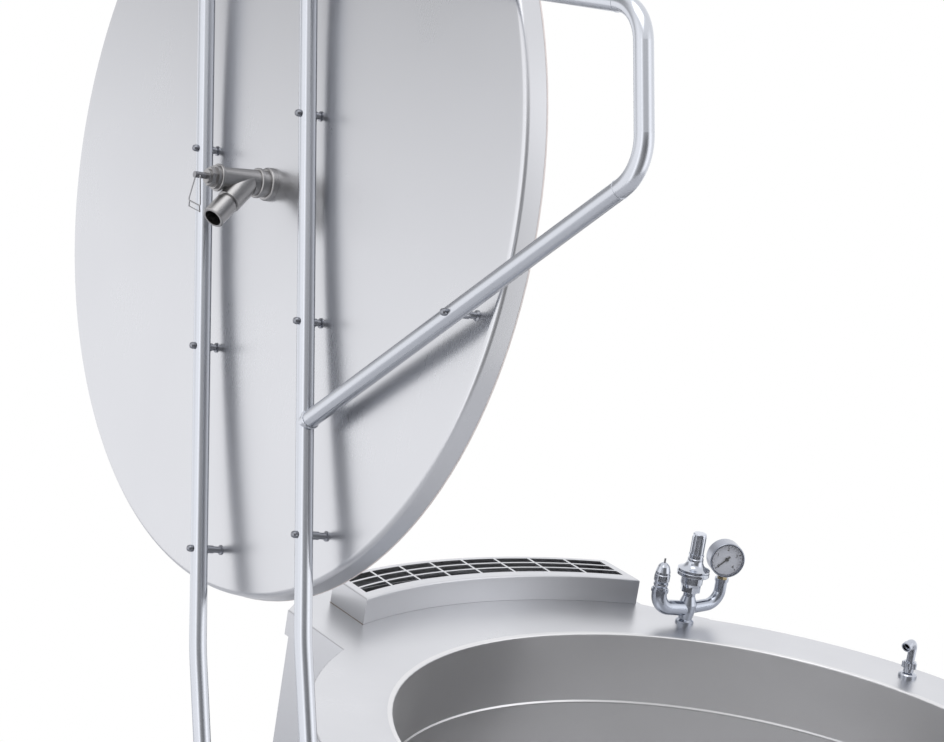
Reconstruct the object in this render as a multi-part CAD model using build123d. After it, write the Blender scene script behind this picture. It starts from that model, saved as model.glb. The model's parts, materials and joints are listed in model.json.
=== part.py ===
from build123d import *
import os
from math import asin, atan2, cos, degrees, hypot, pi, radians, sin, sqrt, tan

# Steam jacketed kettle with a hinged lid on two long arms. Millimetres, +Z up.
# The origin is on the floor, on the axis of the round vessel. -Y is the front,
# where the cook stands, and the lid swings open towards -X.

# ---------------------------------------------------------------- clearances
SEAT = 0.2            # gap between pieces that are bolted or dropped into each other
WELD_GAP = 0.05       # gap at a welded or coped joint
RUNNING = 0.06        # radial gap between a turning shaft and its bore
MOVING = 0.5          # gap beside a piece that turns or slides
GASKET_GAP = 0.3      # gap left under the lid gasket when the lid is down

# ---------------------------------------------------------------- vessel and body
DECK_Z = 900.0        # top of the deck above the floor
BODY_Z = 150.0        # underside of the casing
VESSEL_R = 498.0      # inside radius of the vessel
VESSEL_WALL = 3.0
VESSEL_STRAIGHT = 400.0   # straight depth below the deck
VESSEL_DISH = 170.0   # depth of the dished bottom
RIM_WIDTH = 8.0       # welded ring round the mouth
RIM_HEIGHT = 8.0
RIM_ROUND = 3.0
SEAM_DEPTH = 115.0    # weld bead inside, where the jacket closes
SEAM_BEAD = 1.5
JACKET_GAP = 45.0     # steam space
JACKET_WALL = 3.0
JACKET_RING = 5.0     # closing ring at the top of the jacket
INSULATION = 42.0     # thickness of the insulating blanket
INSULATION_DROP = 330.0
CASING_R = 612.0
SHEET = 2.0           # casing and box sheet
DECK_R = 618.0
DECK_T = 3.0
DECK_FLANGE = 40.0    # height of the turned-down edge
DECK_ROUND = 2.5      # bend radius of the deck's edge

# rear housing under the deck, which carries the flue
REAR_LEFT = -367.0
REAR_RIGHT = 265.0
REAR_Y = 775.0
REAR_CHAMFER = 109.0  # left rear corner
REAR_SLANT_X = 345.0  # where the slanted right side leaves the round deck
REAR_SLANT_Y = 517.0
REAR_INSET = 6.0      # housing walls behind the deck's edge

# flue box on the rear deck
FLUE_LEFT = -279.0
FLUE_RIGHT = 253.0
FLUE_R_IN = 649.0
FLUE_R_OUT = 741.0
FLUE_H = 42.0
FLUE_ROUND = 3.0
FLUE_ROWS = 3
FLUE_COLUMNS = 8
FLUE_FIRST_ROW = 19.0     # front margin
FLUE_ROW_PITCH = 22.2
FLUE_BAR = 4.2
FLUE_END = 13.0

# base, legs and feet
BASE_T = 4.0
LEG_COUNT = 4
LEG_R = 30.0
LEG_WALL = 3.0
LEG_CIRCLE = 520.0
FOOT_R = 55.0
FOOT_T = 10.0
FOOT_SCREW_R = 14.0
FOOT_HOLE_R = 6.0
FOOT_HOLE_OUT = 38.0  # anchor hole, outwards from the leg's axis

# ---------------------------------------------------------------- lid
LID_R = 505.5         # rim
LID_FACE_R = 503.0    # where the skirt meets the face
LID_SKIRT = 25.0
LID_CROWN = 16.0
LID_SHEET = 2.5
LID_EDGE = 7.0        # rounding between skirt and face
GASKET_LIP = 0.4      # how far the gasket shows outside the rim
GASKET_LEG = 2.5
GASKET_UNDER = 2.0
GASKET_SIDE = 7.0
VENT_BORE = 10.0      # radius of the hole in the lid

HINGE_X = -888.0
HINGE_DROP = 66.0     # hinge axis below the deck
LID_OPEN = 84.5       # opening angle in the stored pose
ARM_SKEW = 23.2       # the arms cross the lid at this angle to the X axis
ARM_SPREAD = 232.3    # between the arms' centre lines
ARM_SHIFT = -8.1      # the pair stands this much off the lid's centre
ARM_H = 58.0          # arm axis above the lid's rim plane
ARM_R = 10.5
ARM_WALL = 2.0
ARM_TIP = 330.0       # free end beyond the lid's centre
ARM_BEND = 560.0      # where the arms dip, on the hinge side
ARM_DIP = 4.0         # degrees
ARM_BEND_R = 450.0
NECK_R = 45.0         # bend down into the hinge barrel
STUD_ROWS = (294.0, 49.0, -194.5, -440.0)   # along the arm from the lid's centre
STUD_R = 2.5
STUD_HEAD_R = 4.2
STUD_HEAD_H = 6.5
SPACER_R = 4.8
SPACER_FOOT_R = 3.9
SPACER_WELD_R = 6.0     # weld round the stud's root
SPACER_WELD_H = 2.0
SPACER_STEP = 0.45    # share of the stand-off taken by the thin part
HANDLE_R = 10.5
HANDLE_WALL = 2.0
HANDLE_OUT = 732.5    # grip's distance from the lid's centre line
HANDLE_LOW = -312.0   # where the lower leg leaves the arm
HANDLE_LOW_CORNER = -124.0
HANDLE_TOP_CORNER = 44.0
HANDLE_TOP = 239.0
HANDLE_BEND_R = 50.0
HANDLE_STUD_OUT = 408.0   # handle fixings, from the lid's centre line

# hinge
BARREL_R = 27.0
BARREL_END = 32.0     # barrel beyond each arm
SHAFT_R = 15.0
BUSH_WALL = 3.0
BLOCK_LENGTH = 32.0
BLOCK_HALF = 36.0
BLOCK_TOP = 26.0      # block rounds over this radius above the shaft
BLOCK_FOOT_T = 10.0
BLOCK_BOLT_R = 5.0
BLOCK_BOLT_SPAN = 96.0
SHAFT_STUB = 6.0      # shaft beyond the block
COLUMN_HALF_X = 75.0
COLUMN_TOP_DROP = 46.0    # column top below the hinge axis
COLUMN_MARGIN = 14.0
COLUMN_ROUND = 12.0
BRIDGE_TOP_DROP = 120.0   # bridge top below the deck
BRIDGE_H = 420.0
BRIDGE_INSET = 40.0

# vent valve on the lid
VENT_X = -6.6         # the valve stands a little off the lid's centre
VENT_Y = -20.3
VENT_FLANGE_R = 20.0
VENT_FLANGE_T = 8.0
VENT_NECK_R = 16.0
VENT_NECK_H = 16.0
VENT_COLLAR_R = 18.0
VENT_COLLAR_T = 4.5
VENT_ROOT_R = 15.5    # body above the collar
VENT_BODY_R = 13.0    # body below the bonnet
VENT_BODY_H = 70.0
VENT_SPOUT_R = 13.8
VENT_SPOUT_BORE = 10.6
VENT_SPOUT_H = 31.0   # where the spout leaves the body's axis
VENT_SPOUT_L = 72.0
VENT_SPOUT_NECK = 40.0    # thick part of the spout, up to the groove
VENT_SPOUT_SWING = 30.0   # the spout hangs towards the front by this angle
VENT_GROOVE = 1.6
VENT_RING_R = 16.5
VENT_RING_T = 4.0
VENT_BONNET_R = 12.0
VENT_BONNET_H = 18.0
VENT_STEM_R = 3.8
VENT_STEM_OUT = 16.0
BAIL_WIRE = 0.9
BAIL_LENGTH = 34.0
BAIL_WIDTH = 30.0
BAIL_PIN_OUT = 5.0

# safety group on the deck
SAFETY_R = 584.6      # distance from the vessel's axis
SAFETY_ANGLE = 60.6
MANIFOLD_TUBE = 10.0   # right arm
MANIFOLD_FAT = 12.5    # left arm
MANIFOLD_ARM = 62.0   # centre line of each side arm
MANIFOLD_Z = 24.0     # axis of the cross tube above the deck, at the middle
MANIFOLD_RISE = 6.0    # the tube climbs this much towards its ends
MANIFOLD_LEFT_H = 61.0
MANIFOLD_RIGHT_H = 73.0
MANIFOLD_CENTRE_H = 52.0
MANIFOLD_BEND = 26.0
MANIFOLD_STUB_R = 10.0
RELIEF_HEX = 17.0
RELIEF_FLANGE_R = 26.5
RELIEF_FLANGE_H = 36.0    # top of the flange above the manifold
RELIEF_BELL_H = 26.0
RELIEF_CAP_R = 11.0
RELIEF_CAP_H = 38.0
RELIEF_RIB = 0.7       # ribs on the cap, to turn it by
VACUUM_H = 44.0
VACUUM_PIN_R = 1.6
VACUUM_PIN_OUT = 7.0

GAUGE_R = 29.0
GAUGE_DEPTH = 28.0
GAUGE_H = 106.8       # centre above the deck
GAUGE_TURN = -22.0    # the dial looks to the front, a little to the left
GAUGE_RING = 3.0
NEEDLE_R = 1.2

SPOUT_R = 571.0
SPOUT_ANGLE = 23.5
SPOUT_FLANGE_R = 15.0
SPOUT_FLANGE_H = 14.0
SPOUT_NUT_R = 12.5
SPOUT_NUT_H = 11.0
SPOUT_LOBES = 5
SPOUT_PIPE_R = 6.8
SPOUT_MOUTH_R = 8.4
SPOUT_BORE = 6.6
SPOUT_INNER = 5.2
SPOUT_TOP = 62.0
SPOUT_REACH = 24.0
SPOUT_DROP = 9.0
SPOUT_SWING = 20.0    # the mouth looks over the vessel, turned towards the front
SPOUT_BEND = 11.0

# drain cock at the front
DRAIN_R = 26.0
DRAIN_WALL = 2.5
DRAIN_Z = 225.0
DRAIN_FLANGE_R = 45.0
DRAIN_OUT = 26.0      # flange face beyond the casing
COCK_LENGTH = 100.0
COCK_BODY_R = 36.0
COCK_PLUG_R = 21.0
COCK_H = 34.0
LEVER_LENGTH = 150.0

KNOB_R = 22.0
KNOB_H = 20.0
KNOB_SPINDLE = 5.0
KNOB_DROP = 120.0     # knob below the column's top
BURNER_R = 330.0
BURNER_TUBE = 14.0
BURNER_Z = 175.0
BURNER_POSTS = 3
BURNER_POST_R = 6.0

# ---------------------------------------------------------------- worked-out places
HINGE_Z = DECK_Z - HINGE_DROP
LID_Z = DECK_Z + GASKET_GAP + GASKET_UNDER     # rim plane, lid down
HINGE = (HINGE_X, 0, HINGE_Z)
SKEW_COS = cos(radians(ARM_SKEW))
SKEW_SIN = sin(radians(ARM_SKEW))
MOUTH_R = VESSEL_R + RIM_WIDTH
CROWN_R = (LID_FACE_R ** 2 + LID_CROWN ** 2) / (2 * LID_CROWN)
COLUMN_Z = HINGE_Z - COLUMN_TOP_DROP
KNOB_Z = COLUMN_Z - KNOB_DROP


def lid_xy(along, across):
    """Place on the closed lid: along the arms, and across them from the line midway between."""
    across += ARM_SHIFT
    return (along * SKEW_COS - across * SKEW_SIN, along * SKEW_SIN + across * SKEW_COS)


def lid_point(along, across, height):
    """A point of the closed lid, at a height above the rim plane."""
    x, y = lid_xy(along, across)
    return (x, y, LID_Z + height)


def opened(shape):
    """Swing a piece that was drawn with the lid down to the stored, open pose."""
    turn = Location(HINGE) * Rot(0, -LID_OPEN, 0) * Location((-HINGE[0], -HINGE[1], -HINGE[2]))
    return turn * shape


def lathe(points, axis=Axis.Z):
    """A turned piece from the (radius, height) corners of its half section."""
    return revolve(Plane.XZ * make_face(Polyline(*points, close=True)), axis)


def ring(r_out, r_in, z_low, z_high):
    """A plain ring about Z."""
    return Pos(0, 0, z_low) * extrude(Circle(r_out) - Circle(r_in), z_high - z_low)


def disc(r, z_low, z_high):
    """A plain round bar or disc about Z."""
    return Pos(0, 0, z_low) * extrude(Circle(r), z_high - z_low)


def pipe_along(path, r, start_dir=None):
    """A round bar swept along a path."""
    start = Plane(origin=path @ 0, z_dir=path % 0)
    return sweep(start * Circle(r), path=path)


def tube_along(points, radii, r_out, wall):
    """An open tube along straight runs joined by tangent arcs."""
    path = FilletPolyline(*points, radius=radii) if len(points) > 2 else Line(*points)
    start = Plane(origin=path @ 0, z_dir=path % 0)
    return sweep(start * (Circle(r_out) - Circle(r_out - wall)), path=path)


# ---------------------------------------------------------------- vessel, jacket, casing
def bowl(r, depth, top_z):
    """A filled bowl: straight side and elliptical dished bottom."""
    spring = DECK_Z - VESSEL_STRAIGHT
    with BuildSketch(Plane.XZ) as half:
        with BuildLine():
            Line((0, top_z), (0, spring - depth))
            EllipticalCenterArc((0, spring), r, depth, start_angle=270, arc_size=90)
            Line((r, spring), (r, top_z))
            Line((r, top_z), (0, top_z))
        make_face()
    return revolve(half.sketch, Axis.Z)


def vessel():
    top = DECK_Z
    wall_top = top - RIM_HEIGHT / 2
    shell = bowl(VESSEL_R + VESSEL_WALL, VESSEL_DISH + VESSEL_WALL, wall_top)
    rim = ring(MOUTH_R, VESSEL_R, top - RIM_HEIGHT, top)
    lip = rim.edges().group_by(Axis.Z)[-1].sort_by(SortBy.RADIUS)[0]
    rim = fillet(lip, RIM_ROUND)
    bead_z = DECK_Z - SEAM_DEPTH
    bead = lathe([(VESSEL_R - SEAM_BEAD, bead_z), (VESSEL_R + 1, bead_z + 3 * SEAM_BEAD),
                  (VESSEL_R + 1, bead_z - 3 * SEAM_BEAD)])
    inside = bowl(VESSEL_R, VESSEL_DISH, top + RIM_HEIGHT)
    bottom = DECK_Z - VESSEL_STRAIGHT - VESSEL_DISH
    outlet = disc(DRAIN_R - DRAIN_WALL, bottom - 3 * VESSEL_WALL, bottom + 3 * VESSEL_WALL)
    return shell + rim - inside + bead - outlet


def steam_jacket():
    r_in = VESSEL_R + VESSEL_WALL + JACKET_GAP
    top = DECK_Z - SEAM_DEPTH
    depth = VESSEL_DISH + VESSEL_WALL + JACKET_GAP
    shell = bowl(r_in + JACKET_WALL, depth + JACKET_WALL, top) - bowl(r_in, depth, top - JACKET_RING)
    throat = disc(VESSEL_R + VESSEL_WALL + SEAT, top - 2 * JACKET_RING, top + JACKET_RING)
    outlet_z = DECK_Z - VESSEL_STRAIGHT - depth
    outlet = disc(DRAIN_R + SEAT, outlet_z - 3 * JACKET_WALL, outlet_z + 3 * JACKET_WALL)
    return shell - throat - outlet


def insulation_blanket():
    r_in = VESSEL_R + VESSEL_WALL + JACKET_GAP + JACKET_WALL + SEAT
    top = DECK_Z - SEAM_DEPTH
    return ring(r_in + INSULATION, r_in, top - INSULATION_DROP, top)


def rear_outline(inset):
    """Plan of the rear housing, up to the middle of the vessel."""
    left = REAR_LEFT + inset
    right = REAR_RIGHT - inset
    back = REAR_Y - inset
    cut = REAR_CHAMFER - inset * (2 - sqrt(2))
    slant = REAR_SLANT_X + REAR_SLANT_Y - inset * sqrt(2)
    low = REAR_SLANT_X - inset
    return make_face(Polyline((left, 0), (left, back - cut), (left + cut, back), (right, back),
                              (right, slant - right), (low, slant - low), (low, 0), close=True))


def deck_outline(radius, inset):
    return Circle(radius) + rear_outline(inset)


def flue_plan(inset):
    """Plan of the curved flue box."""
    band = Circle(FLUE_R_OUT - inset) - Circle(FLUE_R_IN + inset)
    width = FLUE_RIGHT - FLUE_LEFT - 2 * inset
    window = Pos((FLUE_LEFT + FLUE_RIGHT) / 2, FLUE_R_OUT / 2) * Rectangle(width, FLUE_R_OUT)
    return band & window


def deck():
    top = deck_outline(DECK_R, 0)
    body = Pos(0, 0, DECK_Z - DECK_FLANGE) * extrude(top, DECK_FLANGE)
    edge = [e for e in body.edges().group_by(Axis.Z)[-1]]
    body = fillet(edge, DECK_ROUND)
    hollow = deck_outline(DECK_R - SHEET, SHEET)
    body -= Pos(0, 0, DECK_Z - DECK_FLANGE) * extrude(hollow, DECK_FLANGE - DECK_T)
    body -= disc(MOUTH_R + WELD_GAP, DECK_Z - 2 * DECK_T, DECK_Z + DECK_T)
    body -= Pos(0, 0, DECK_Z - 2 * DECK_T) * extrude(flue_plan(4 * SHEET), 3 * DECK_T)
    x, y = polar(SAFETY_R, SAFETY_ANGLE)
    body -= Pos(x, y) * disc(MANIFOLD_STUB_R + SEAT, DECK_Z - 2 * DECK_T, DECK_Z + DECK_T)
    x, y = polar(SPOUT_R, SPOUT_ANGLE)
    body -= Pos(x, y) * disc(SPOUT_PIPE_R + SEAT, DECK_Z - 2 * DECK_T, DECK_Z + DECK_T)
    return body


def polar(r, angle):
    return (r * cos(radians(angle)), r * sin(radians(angle)))


def outer_casing():
    top = DECK_Z - DECK_T - SEAT
    shell = ring(CASING_R, CASING_R - SHEET, BODY_Z + SEAT, top)
    pipe = Pos(0, -CASING_R, DRAIN_Z) * Rot(90, 0, 0) * Cylinder(DRAIN_R + MOVING, 12 * SHEET)
    window = Pos((FLUE_LEFT + FLUE_RIGHT) / 2, CASING_R, (BODY_Z + top) / 2)
    window *= Box(FLUE_RIGHT - FLUE_LEFT, CASING_R / 2, (top - BODY_Z) * 0.6)
    return shell - pipe - window


def rear_housing():
    height = DECK_Z - DECK_T - SEAT - (BODY_Z + SEAT)
    walls = rear_outline(REAR_INSET) - rear_outline(REAR_INSET + SHEET)
    body = Pos(0, 0, BODY_Z + SEAT) * extrude(walls - Circle(CASING_R + SEAT), height)
    solids = sorted(body.solids(), key=lambda s: s.volume)
    return solids[-1]


def base_plate():
    plan = deck_outline(CASING_R, REAR_INSET)
    plate = Pos(0, 0, BODY_Z - BASE_T) * extrude(plan, BASE_T)
    return plate - disc(BURNER_R * 0.6, BODY_Z - 2 * BASE_T, BODY_Z + BASE_T)


def leg_places():
    return [polar(LEG_CIRCLE, 45 + i * 360 / LEG_COUNT) for i in range(LEG_COUNT)]


def legs():
    low = FOOT_T + 3 * SHEET
    tube = ring(LEG_R, LEG_R - LEG_WALL, low, BODY_Z - BASE_T - SEAT / 4)
    cap = disc(LEG_R - LEG_WALL, low, low + 2 * LEG_WALL) - disc(FOOT_SCREW_R + SEAT, 0, BODY_Z)
    return Compound(children=[Pos(x, y) * (tube + cap) for x, y in leg_places()])


def feet():
    group = []
    for i, (x, y) in enumerate(leg_places()):
        foot = lathe([(0, 0), (FOOT_R, 0), (FOOT_R, FOOT_T * 0.6), (FOOT_R * 0.6, FOOT_T),
                      (FOOT_SCREW_R, FOOT_T), (FOOT_SCREW_R, BODY_Z * 0.6), (0, BODY_Z * 0.6)])
        hole_x, hole_y = polar(FOOT_HOLE_OUT, 45 + i * 360 / LEG_COUNT)
        foot -= Pos(hole_x, hole_y) * disc(FOOT_HOLE_R, -1, FOOT_T + 1)
        group.append(Pos(x, y) * foot)
    return Compound(children=group)


def flue_box():
    outer = Pos(0, 0, DECK_Z + SEAT) * extrude(flue_plan(0), FLUE_H - SEAT)
    top_edges = outer.edges().group_by(Axis.Z)[-1]
    box = fillet(top_edges, FLUE_ROUND)
    box -= Pos(0, 0, DECK_Z) * extrude(flue_plan(SHEET), FLUE_H - SHEET)
    pitch = (FLUE_RIGHT - FLUE_LEFT - 2 * FLUE_END) / FLUE_COLUMNS
    slots = None
    for row in range(FLUE_ROWS):
        r_low = FLUE_R_IN + FLUE_FIRST_ROW + row * FLUE_ROW_PITCH
        band = Circle(r_low + FLUE_ROW_PITCH - FLUE_BAR) - Circle(r_low)
        for column in range(FLUE_COLUMNS):
            x = FLUE_LEFT + FLUE_END + (column + 0.5) * pitch
            slot = band & (Pos(x, FLUE_R_OUT / 2) * Rectangle(pitch - FLUE_BAR, FLUE_R_OUT))
            slots = slot if slots is None else slots + slot
    return box - Pos(0, 0, DECK_Z + FLUE_H / 2) * extrude(slots, FLUE_H)


def flue_duct():
    """Sheet duct that brings the burnt gas up behind the vessel to the flue box."""
    low = BODY_Z + (DECK_Z - BODY_Z) * 0.5
    plan = flue_plan(4 * SHEET + SEAT) - flue_plan(5 * SHEET + SEAT)
    return Pos(0, 0, low) * extrude(plan, DECK_Z + FLUE_H / 3 - low)


def burner_ring():
    r = BURNER_TUBE
    corner = r * 0.4
    tube = lathe([(BURNER_R - r, BURNER_Z - corner), (BURNER_R - corner, BURNER_Z - r),
                  (BURNER_R + corner, BURNER_Z - r), (BURNER_R + r, BURNER_Z - corner),
                  (BURNER_R + r, BURNER_Z + corner), (BURNER_R + corner, BURNER_Z + r),
                  (BURNER_R - corner, BURNER_Z + r), (BURNER_R - r, BURNER_Z + corner)])
    for i in range(BURNER_POSTS):
        x, y = polar(BURNER_R, 90 + i * 360 / BURNER_POSTS)
        tube += Pos(x, y) * disc(BURNER_POST_R, BODY_Z + SEAT, BURNER_Z)
    return tube


# ---------------------------------------------------------------- lid
def crown_height(r):
    """Height of the lid's outer face above the rim plane, at a radius."""
    return LID_SKIRT + LID_CROWN - (CROWN_R - sqrt(CROWN_R ** 2 - r ** 2))


def lid_section(sheet):
    """Half section of the lid, filled, with the given sheet taken off all round."""
    face_r = LID_FACE_R - sheet
    top = LID_SKIRT + LID_CROWN - sheet
    corner = LID_SKIRT - sheet
    mid = crown_height(LID_FACE_R / 2) - sheet
    with BuildSketch(Plane.XZ) as half:
        with BuildLine():
            Polyline((0, top), (0, 0), (LID_R - sheet, 0), (LID_R - sheet, GASKET_SIDE + SEAT),
                     (face_r, corner))
            ThreePointArc((face_r, corner), (LID_FACE_R / 2, mid), (0, top))
        make_face()
    return half.sketch


def lid_shell():
    outer = revolve(lid_section(0), Axis.Z)
    corner = [e for e in outer.edges() if e.is_closed and e.center().Z > LID_SKIRT / 2]
    outer = fillet(corner, LID_EDGE)
    inner = revolve(lid_section(LID_SHEET), Axis.Z)
    shell = outer - inner - Pos(VENT_X, VENT_Y) * disc(VENT_BORE, -1, LID_SKIRT * 3)
    return opened(Pos(0, 0, LID_Z) * shell)


def lid_gasket():
    """Angle strip of silicone fixed inside and under the rim of the lid."""
    low = -GASKET_UNDER
    leg = LID_R - LID_SHEET - SEAT
    profile = [(leg - GASKET_LEG, low), (LID_R + GASKET_LIP, low), (LID_R + GASKET_LIP, -SEAT),
               (leg, -SEAT), (leg, GASKET_SIDE), (leg - GASKET_LEG, GASKET_SIDE)]
    return opened(Pos(0, 0, LID_Z) * lathe(profile))


def barrel_y(side):
    """Where an arm's centre line crosses the hinge axis: side is +1 rear, -1 front."""
    across = side * ARM_SPREAD / 2
    along = (HINGE_X + (across + ARM_SHIFT) * SKEW_SIN) / SKEW_COS
    return along, lid_xy(along, across)[1]


def arm_points(side):
    across = side * ARM_SPREAD / 2
    end_along, _ = barrel_y(side)
    drop = (-ARM_BEND - end_along) * tan(radians(ARM_DIP))
    barrel_top = HINGE_Z + sqrt(BARREL_R ** 2 - ARM_R ** 2) - LID_Z
    return [lid_point(ARM_TIP, across, ARM_H), lid_point(-ARM_BEND, across, ARM_H),
            lid_point(end_along, across, ARM_H - drop), lid_point(end_along, across, barrel_top)]


def arm_core(side, clearance):
    """The straight part of an arm over the lid, as a bar for coping what meets it."""
    across = side * ARM_SPREAD / 2
    path = Line(lid_point(ARM_TIP, across, ARM_H), lid_point(-ARM_BEND, across, ARM_H))
    return pipe_along(path, ARM_R + clearance)


def stud_places(side):
    return [(along, side * ARM_SPREAD / 2) for along in STUD_ROWS]


def handle_stud_places():
    """The handle's two fixings, on its sloping legs."""
    span = HANDLE_OUT - ARM_SPREAD / 2
    share = (HANDLE_STUD_OUT - ARM_SPREAD / 2) / span
    low = HANDLE_LOW + (HANDLE_LOW_CORNER - HANDLE_LOW) * share
    top = HANDLE_TOP + (HANDLE_TOP_CORNER - HANDLE_TOP) * share
    return [(low, -HANDLE_STUD_OUT), (top, -HANDLE_STUD_OUT)]


def cross_hole(place, radius):
    """Hole down through an arm or the handle for a fixing."""
    x, y = lid_xy(*place)
    return Pos(x, y, LID_Z + ARM_H) * Cylinder(radius, 4 * HANDLE_R)


def arm(side):
    tube = tube_along(arm_points(side), [ARM_BEND_R, NECK_R], ARM_R, ARM_WALL)
    plug = Line(lid_point(ARM_TIP, side * ARM_SPREAD / 2, ARM_H),
                lid_point(ARM_TIP - 2 * ARM_WALL, side * ARM_SPREAD / 2, ARM_H))
    tube += pipe_along(plug, ARM_R)
    for place in stud_places(side):
        tube -= cross_hole(place, STUD_R + SEAT)
    end_along, y = barrel_y(side)
    barrel = Pos(HINGE_X, y, HINGE_Z) * Rot(90, 0, 0) * Cylinder(BARREL_R + WELD_GAP, 4 * BARREL_END)
    return opened(tube - barrel)


def lid_handle():
    across = -ARM_SPREAD / 2
    corners = [(HANDLE_LOW, across), (HANDLE_LOW_CORNER, -HANDLE_OUT),
               (HANDLE_TOP_CORNER, -HANDLE_OUT), (HANDLE_TOP, across)]
    points = [lid_point(along, out, ARM_H) for along, out in corners]
    tube = tube_along(points, HANDLE_BEND_R, HANDLE_R, HANDLE_WALL)
    for place in handle_stud_places():
        tube -= cross_hole(place, STUD_R + SEAT)
    return opened(tube - arm_core(-1, WELD_GAP))


def lid_crown(clearance):
    """A body bounded by the lid's outer face, for seating what stands on it."""
    ball = Pos(0, 0, LID_Z + LID_SKIRT + LID_CROWN - CROWN_R) * Sphere(CROWN_R + clearance)
    return ball & (Pos(0, 0, LID_Z + LID_SKIRT) * Box(3 * LID_R, 3 * LID_R, 4 * LID_SKIRT))


def spacer(place, tube_r):
    """Stepped stand-off between the lid's face and a tube, with a weld at its root."""
    x, y = lid_xy(*place)
    face = crown_height(hypot(x, y))
    low = face - LID_SHEET
    top = ARM_H - tube_r * 0.5
    step = face + (top - face) * SPACER_STEP
    weld = lathe([(0, low), (SPACER_WELD_R, low), (SPACER_WELD_R, face + SPACER_WELD_H / 2),
                  (SPACER_FOOT_R, face + SPACER_WELD_H), (0, face + SPACER_WELD_H)])
    post = disc(SPACER_FOOT_R, low, step) + disc(SPACER_R, step, top)
    return Pos(x, y, LID_Z) * (weld + post - disc(STUD_R + SEAT, 0, ARM_H + tube_r))


def arm_spacers():
    face = lid_crown(WELD_GAP)
    group = []
    for side in (1, -1):
        core = arm_core(side, WELD_GAP)
        group += [spacer(place, ARM_R) - core - face for place in stud_places(side)]
    across = -ARM_SPREAD / 2
    corners = [(HANDLE_LOW, across), (HANDLE_LOW_CORNER, -HANDLE_OUT),
               (HANDLE_TOP_CORNER, -HANDLE_OUT), (HANDLE_TOP, across)]
    ends = [lid_point(along, out, ARM_H) for along, out in corners]
    legs_of_handle = [Line(ends[0], ends[1]), Line(ends[3], ends[2])]
    for place, leg in zip(handle_stud_places(), legs_of_handle):
        group.append(spacer(place, HANDLE_R) - pipe_along(leg, HANDLE_R + WELD_GAP) - face)
    return opened(Compound(children=group))


def fixing_bolt(place, tube_r):
    """Dome-headed bolt through the tube and spacer into the lid's pad."""
    x, y = lid_xy(*place)
    low = crown_height(hypot(x, y)) + WELD_GAP
    seat_z = ARM_H + tube_r + WELD_GAP
    shank = disc(STUD_R, low, seat_z + 1)
    shoulder = seat_z + STUD_HEAD_H * 0.45
    head = lathe([(0, seat_z), (STUD_HEAD_R, seat_z), (STUD_HEAD_R, shoulder),
                  (STUD_HEAD_R * 0.8, seat_z + STUD_HEAD_H * 0.8),
                  (STUD_HEAD_R * 0.35, seat_z + STUD_HEAD_H), (0, seat_z + STUD_HEAD_H)])
    return Pos(x, y, LID_Z) * (shank + head)


def arm_bolts():
    group = [fixing_bolt(place, ARM_R) for side in (1, -1) for place in stud_places(side)]
    group += [fixing_bolt(place, HANDLE_R) for place in handle_stud_places()]
    return opened(Compound(children=group))


# ---------------------------------------------------------------- hinge
BARREL_REAR = barrel_y(1)[1] + BARREL_END
BARREL_FRONT = barrel_y(-1)[1] - BARREL_END
BLOCK_REAR_Y = BARREL_REAR + MOVING + BLOCK_LENGTH / 2
BLOCK_FRONT_Y = BARREL_FRONT - MOVING - BLOCK_LENGTH / 2
COLUMN_REAR = BLOCK_REAR_Y + BLOCK_LENGTH / 2 + COLUMN_MARGIN
COLUMN_FRONT = BLOCK_FRONT_Y - BLOCK_LENGTH / 2 - COLUMN_MARGIN


def along_y(shape, y_low):
    """Lay a piece drawn upwards from Z = 0 along +Y on the hinge axis, from y_low."""
    return Pos(HINGE_X, y_low, HINGE_Z) * Rot(-90, 0, 0) * shape


def hinge_barrel():
    length = BARREL_REAR - BARREL_FRONT
    tube = disc(BARREL_R, 0, length) - disc(SHAFT_R + WELD_GAP, -1, length + 1)
    tube = chamfer(tube.edges().filter_by(GeomType.CIRCLE).group_by(SortBy.RADIUS)[-1], 1.5)
    return along_y(tube, BARREL_FRONT)


def hinge_shaft():
    low = BLOCK_FRONT_Y - BLOCK_LENGTH / 2 - SHAFT_STUB
    high = BLOCK_REAR_Y + BLOCK_LENGTH / 2 + SHAFT_STUB
    return along_y(chamfer(disc(SHAFT_R, 0, high - low).edges().filter_by(GeomType.CIRCLE), 1.5), low)


def bearing_block(y):
    """Pillow block: round-topped housing on a bolted foot."""
    bore = SHAFT_R + RUNNING + BUSH_WALL + WELD_GAP
    foot_z = COLUMN_Z - HINGE_Z + SEAT
    with BuildSketch(Plane.XZ) as side:
        with BuildLine():
            Polyline((BLOCK_HALF, foot_z + BLOCK_FOOT_T), (BLOCK_TOP, 0))
            ThreePointArc((BLOCK_TOP, 0), (0, BLOCK_TOP), (-BLOCK_TOP, 0))
            Polyline((-BLOCK_TOP, 0), (-BLOCK_HALF, foot_z + BLOCK_FOOT_T),
                     (BLOCK_HALF, foot_z + BLOCK_FOOT_T))
        make_face()
    housing = extrude(side.sketch, BLOCK_LENGTH / 2, both=True)
    foot_width = BLOCK_BOLT_SPAN + 6 * BLOCK_BOLT_R
    foot = Pos(0, 0, foot_z + BLOCK_FOOT_T / 2) * Box(foot_width, BLOCK_LENGTH, BLOCK_FOOT_T)
    block = housing + foot - Rot(90, 0, 0) * Cylinder(bore, 2 * BLOCK_LENGTH)
    for x in (-BLOCK_BOLT_SPAN / 2, BLOCK_BOLT_SPAN / 2):
        block -= Pos(x, 0, foot_z) * Cylinder(BLOCK_BOLT_R + SEAT, 4 * BLOCK_FOOT_T)
    return Pos(HINGE_X, y, HINGE_Z) * block


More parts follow.
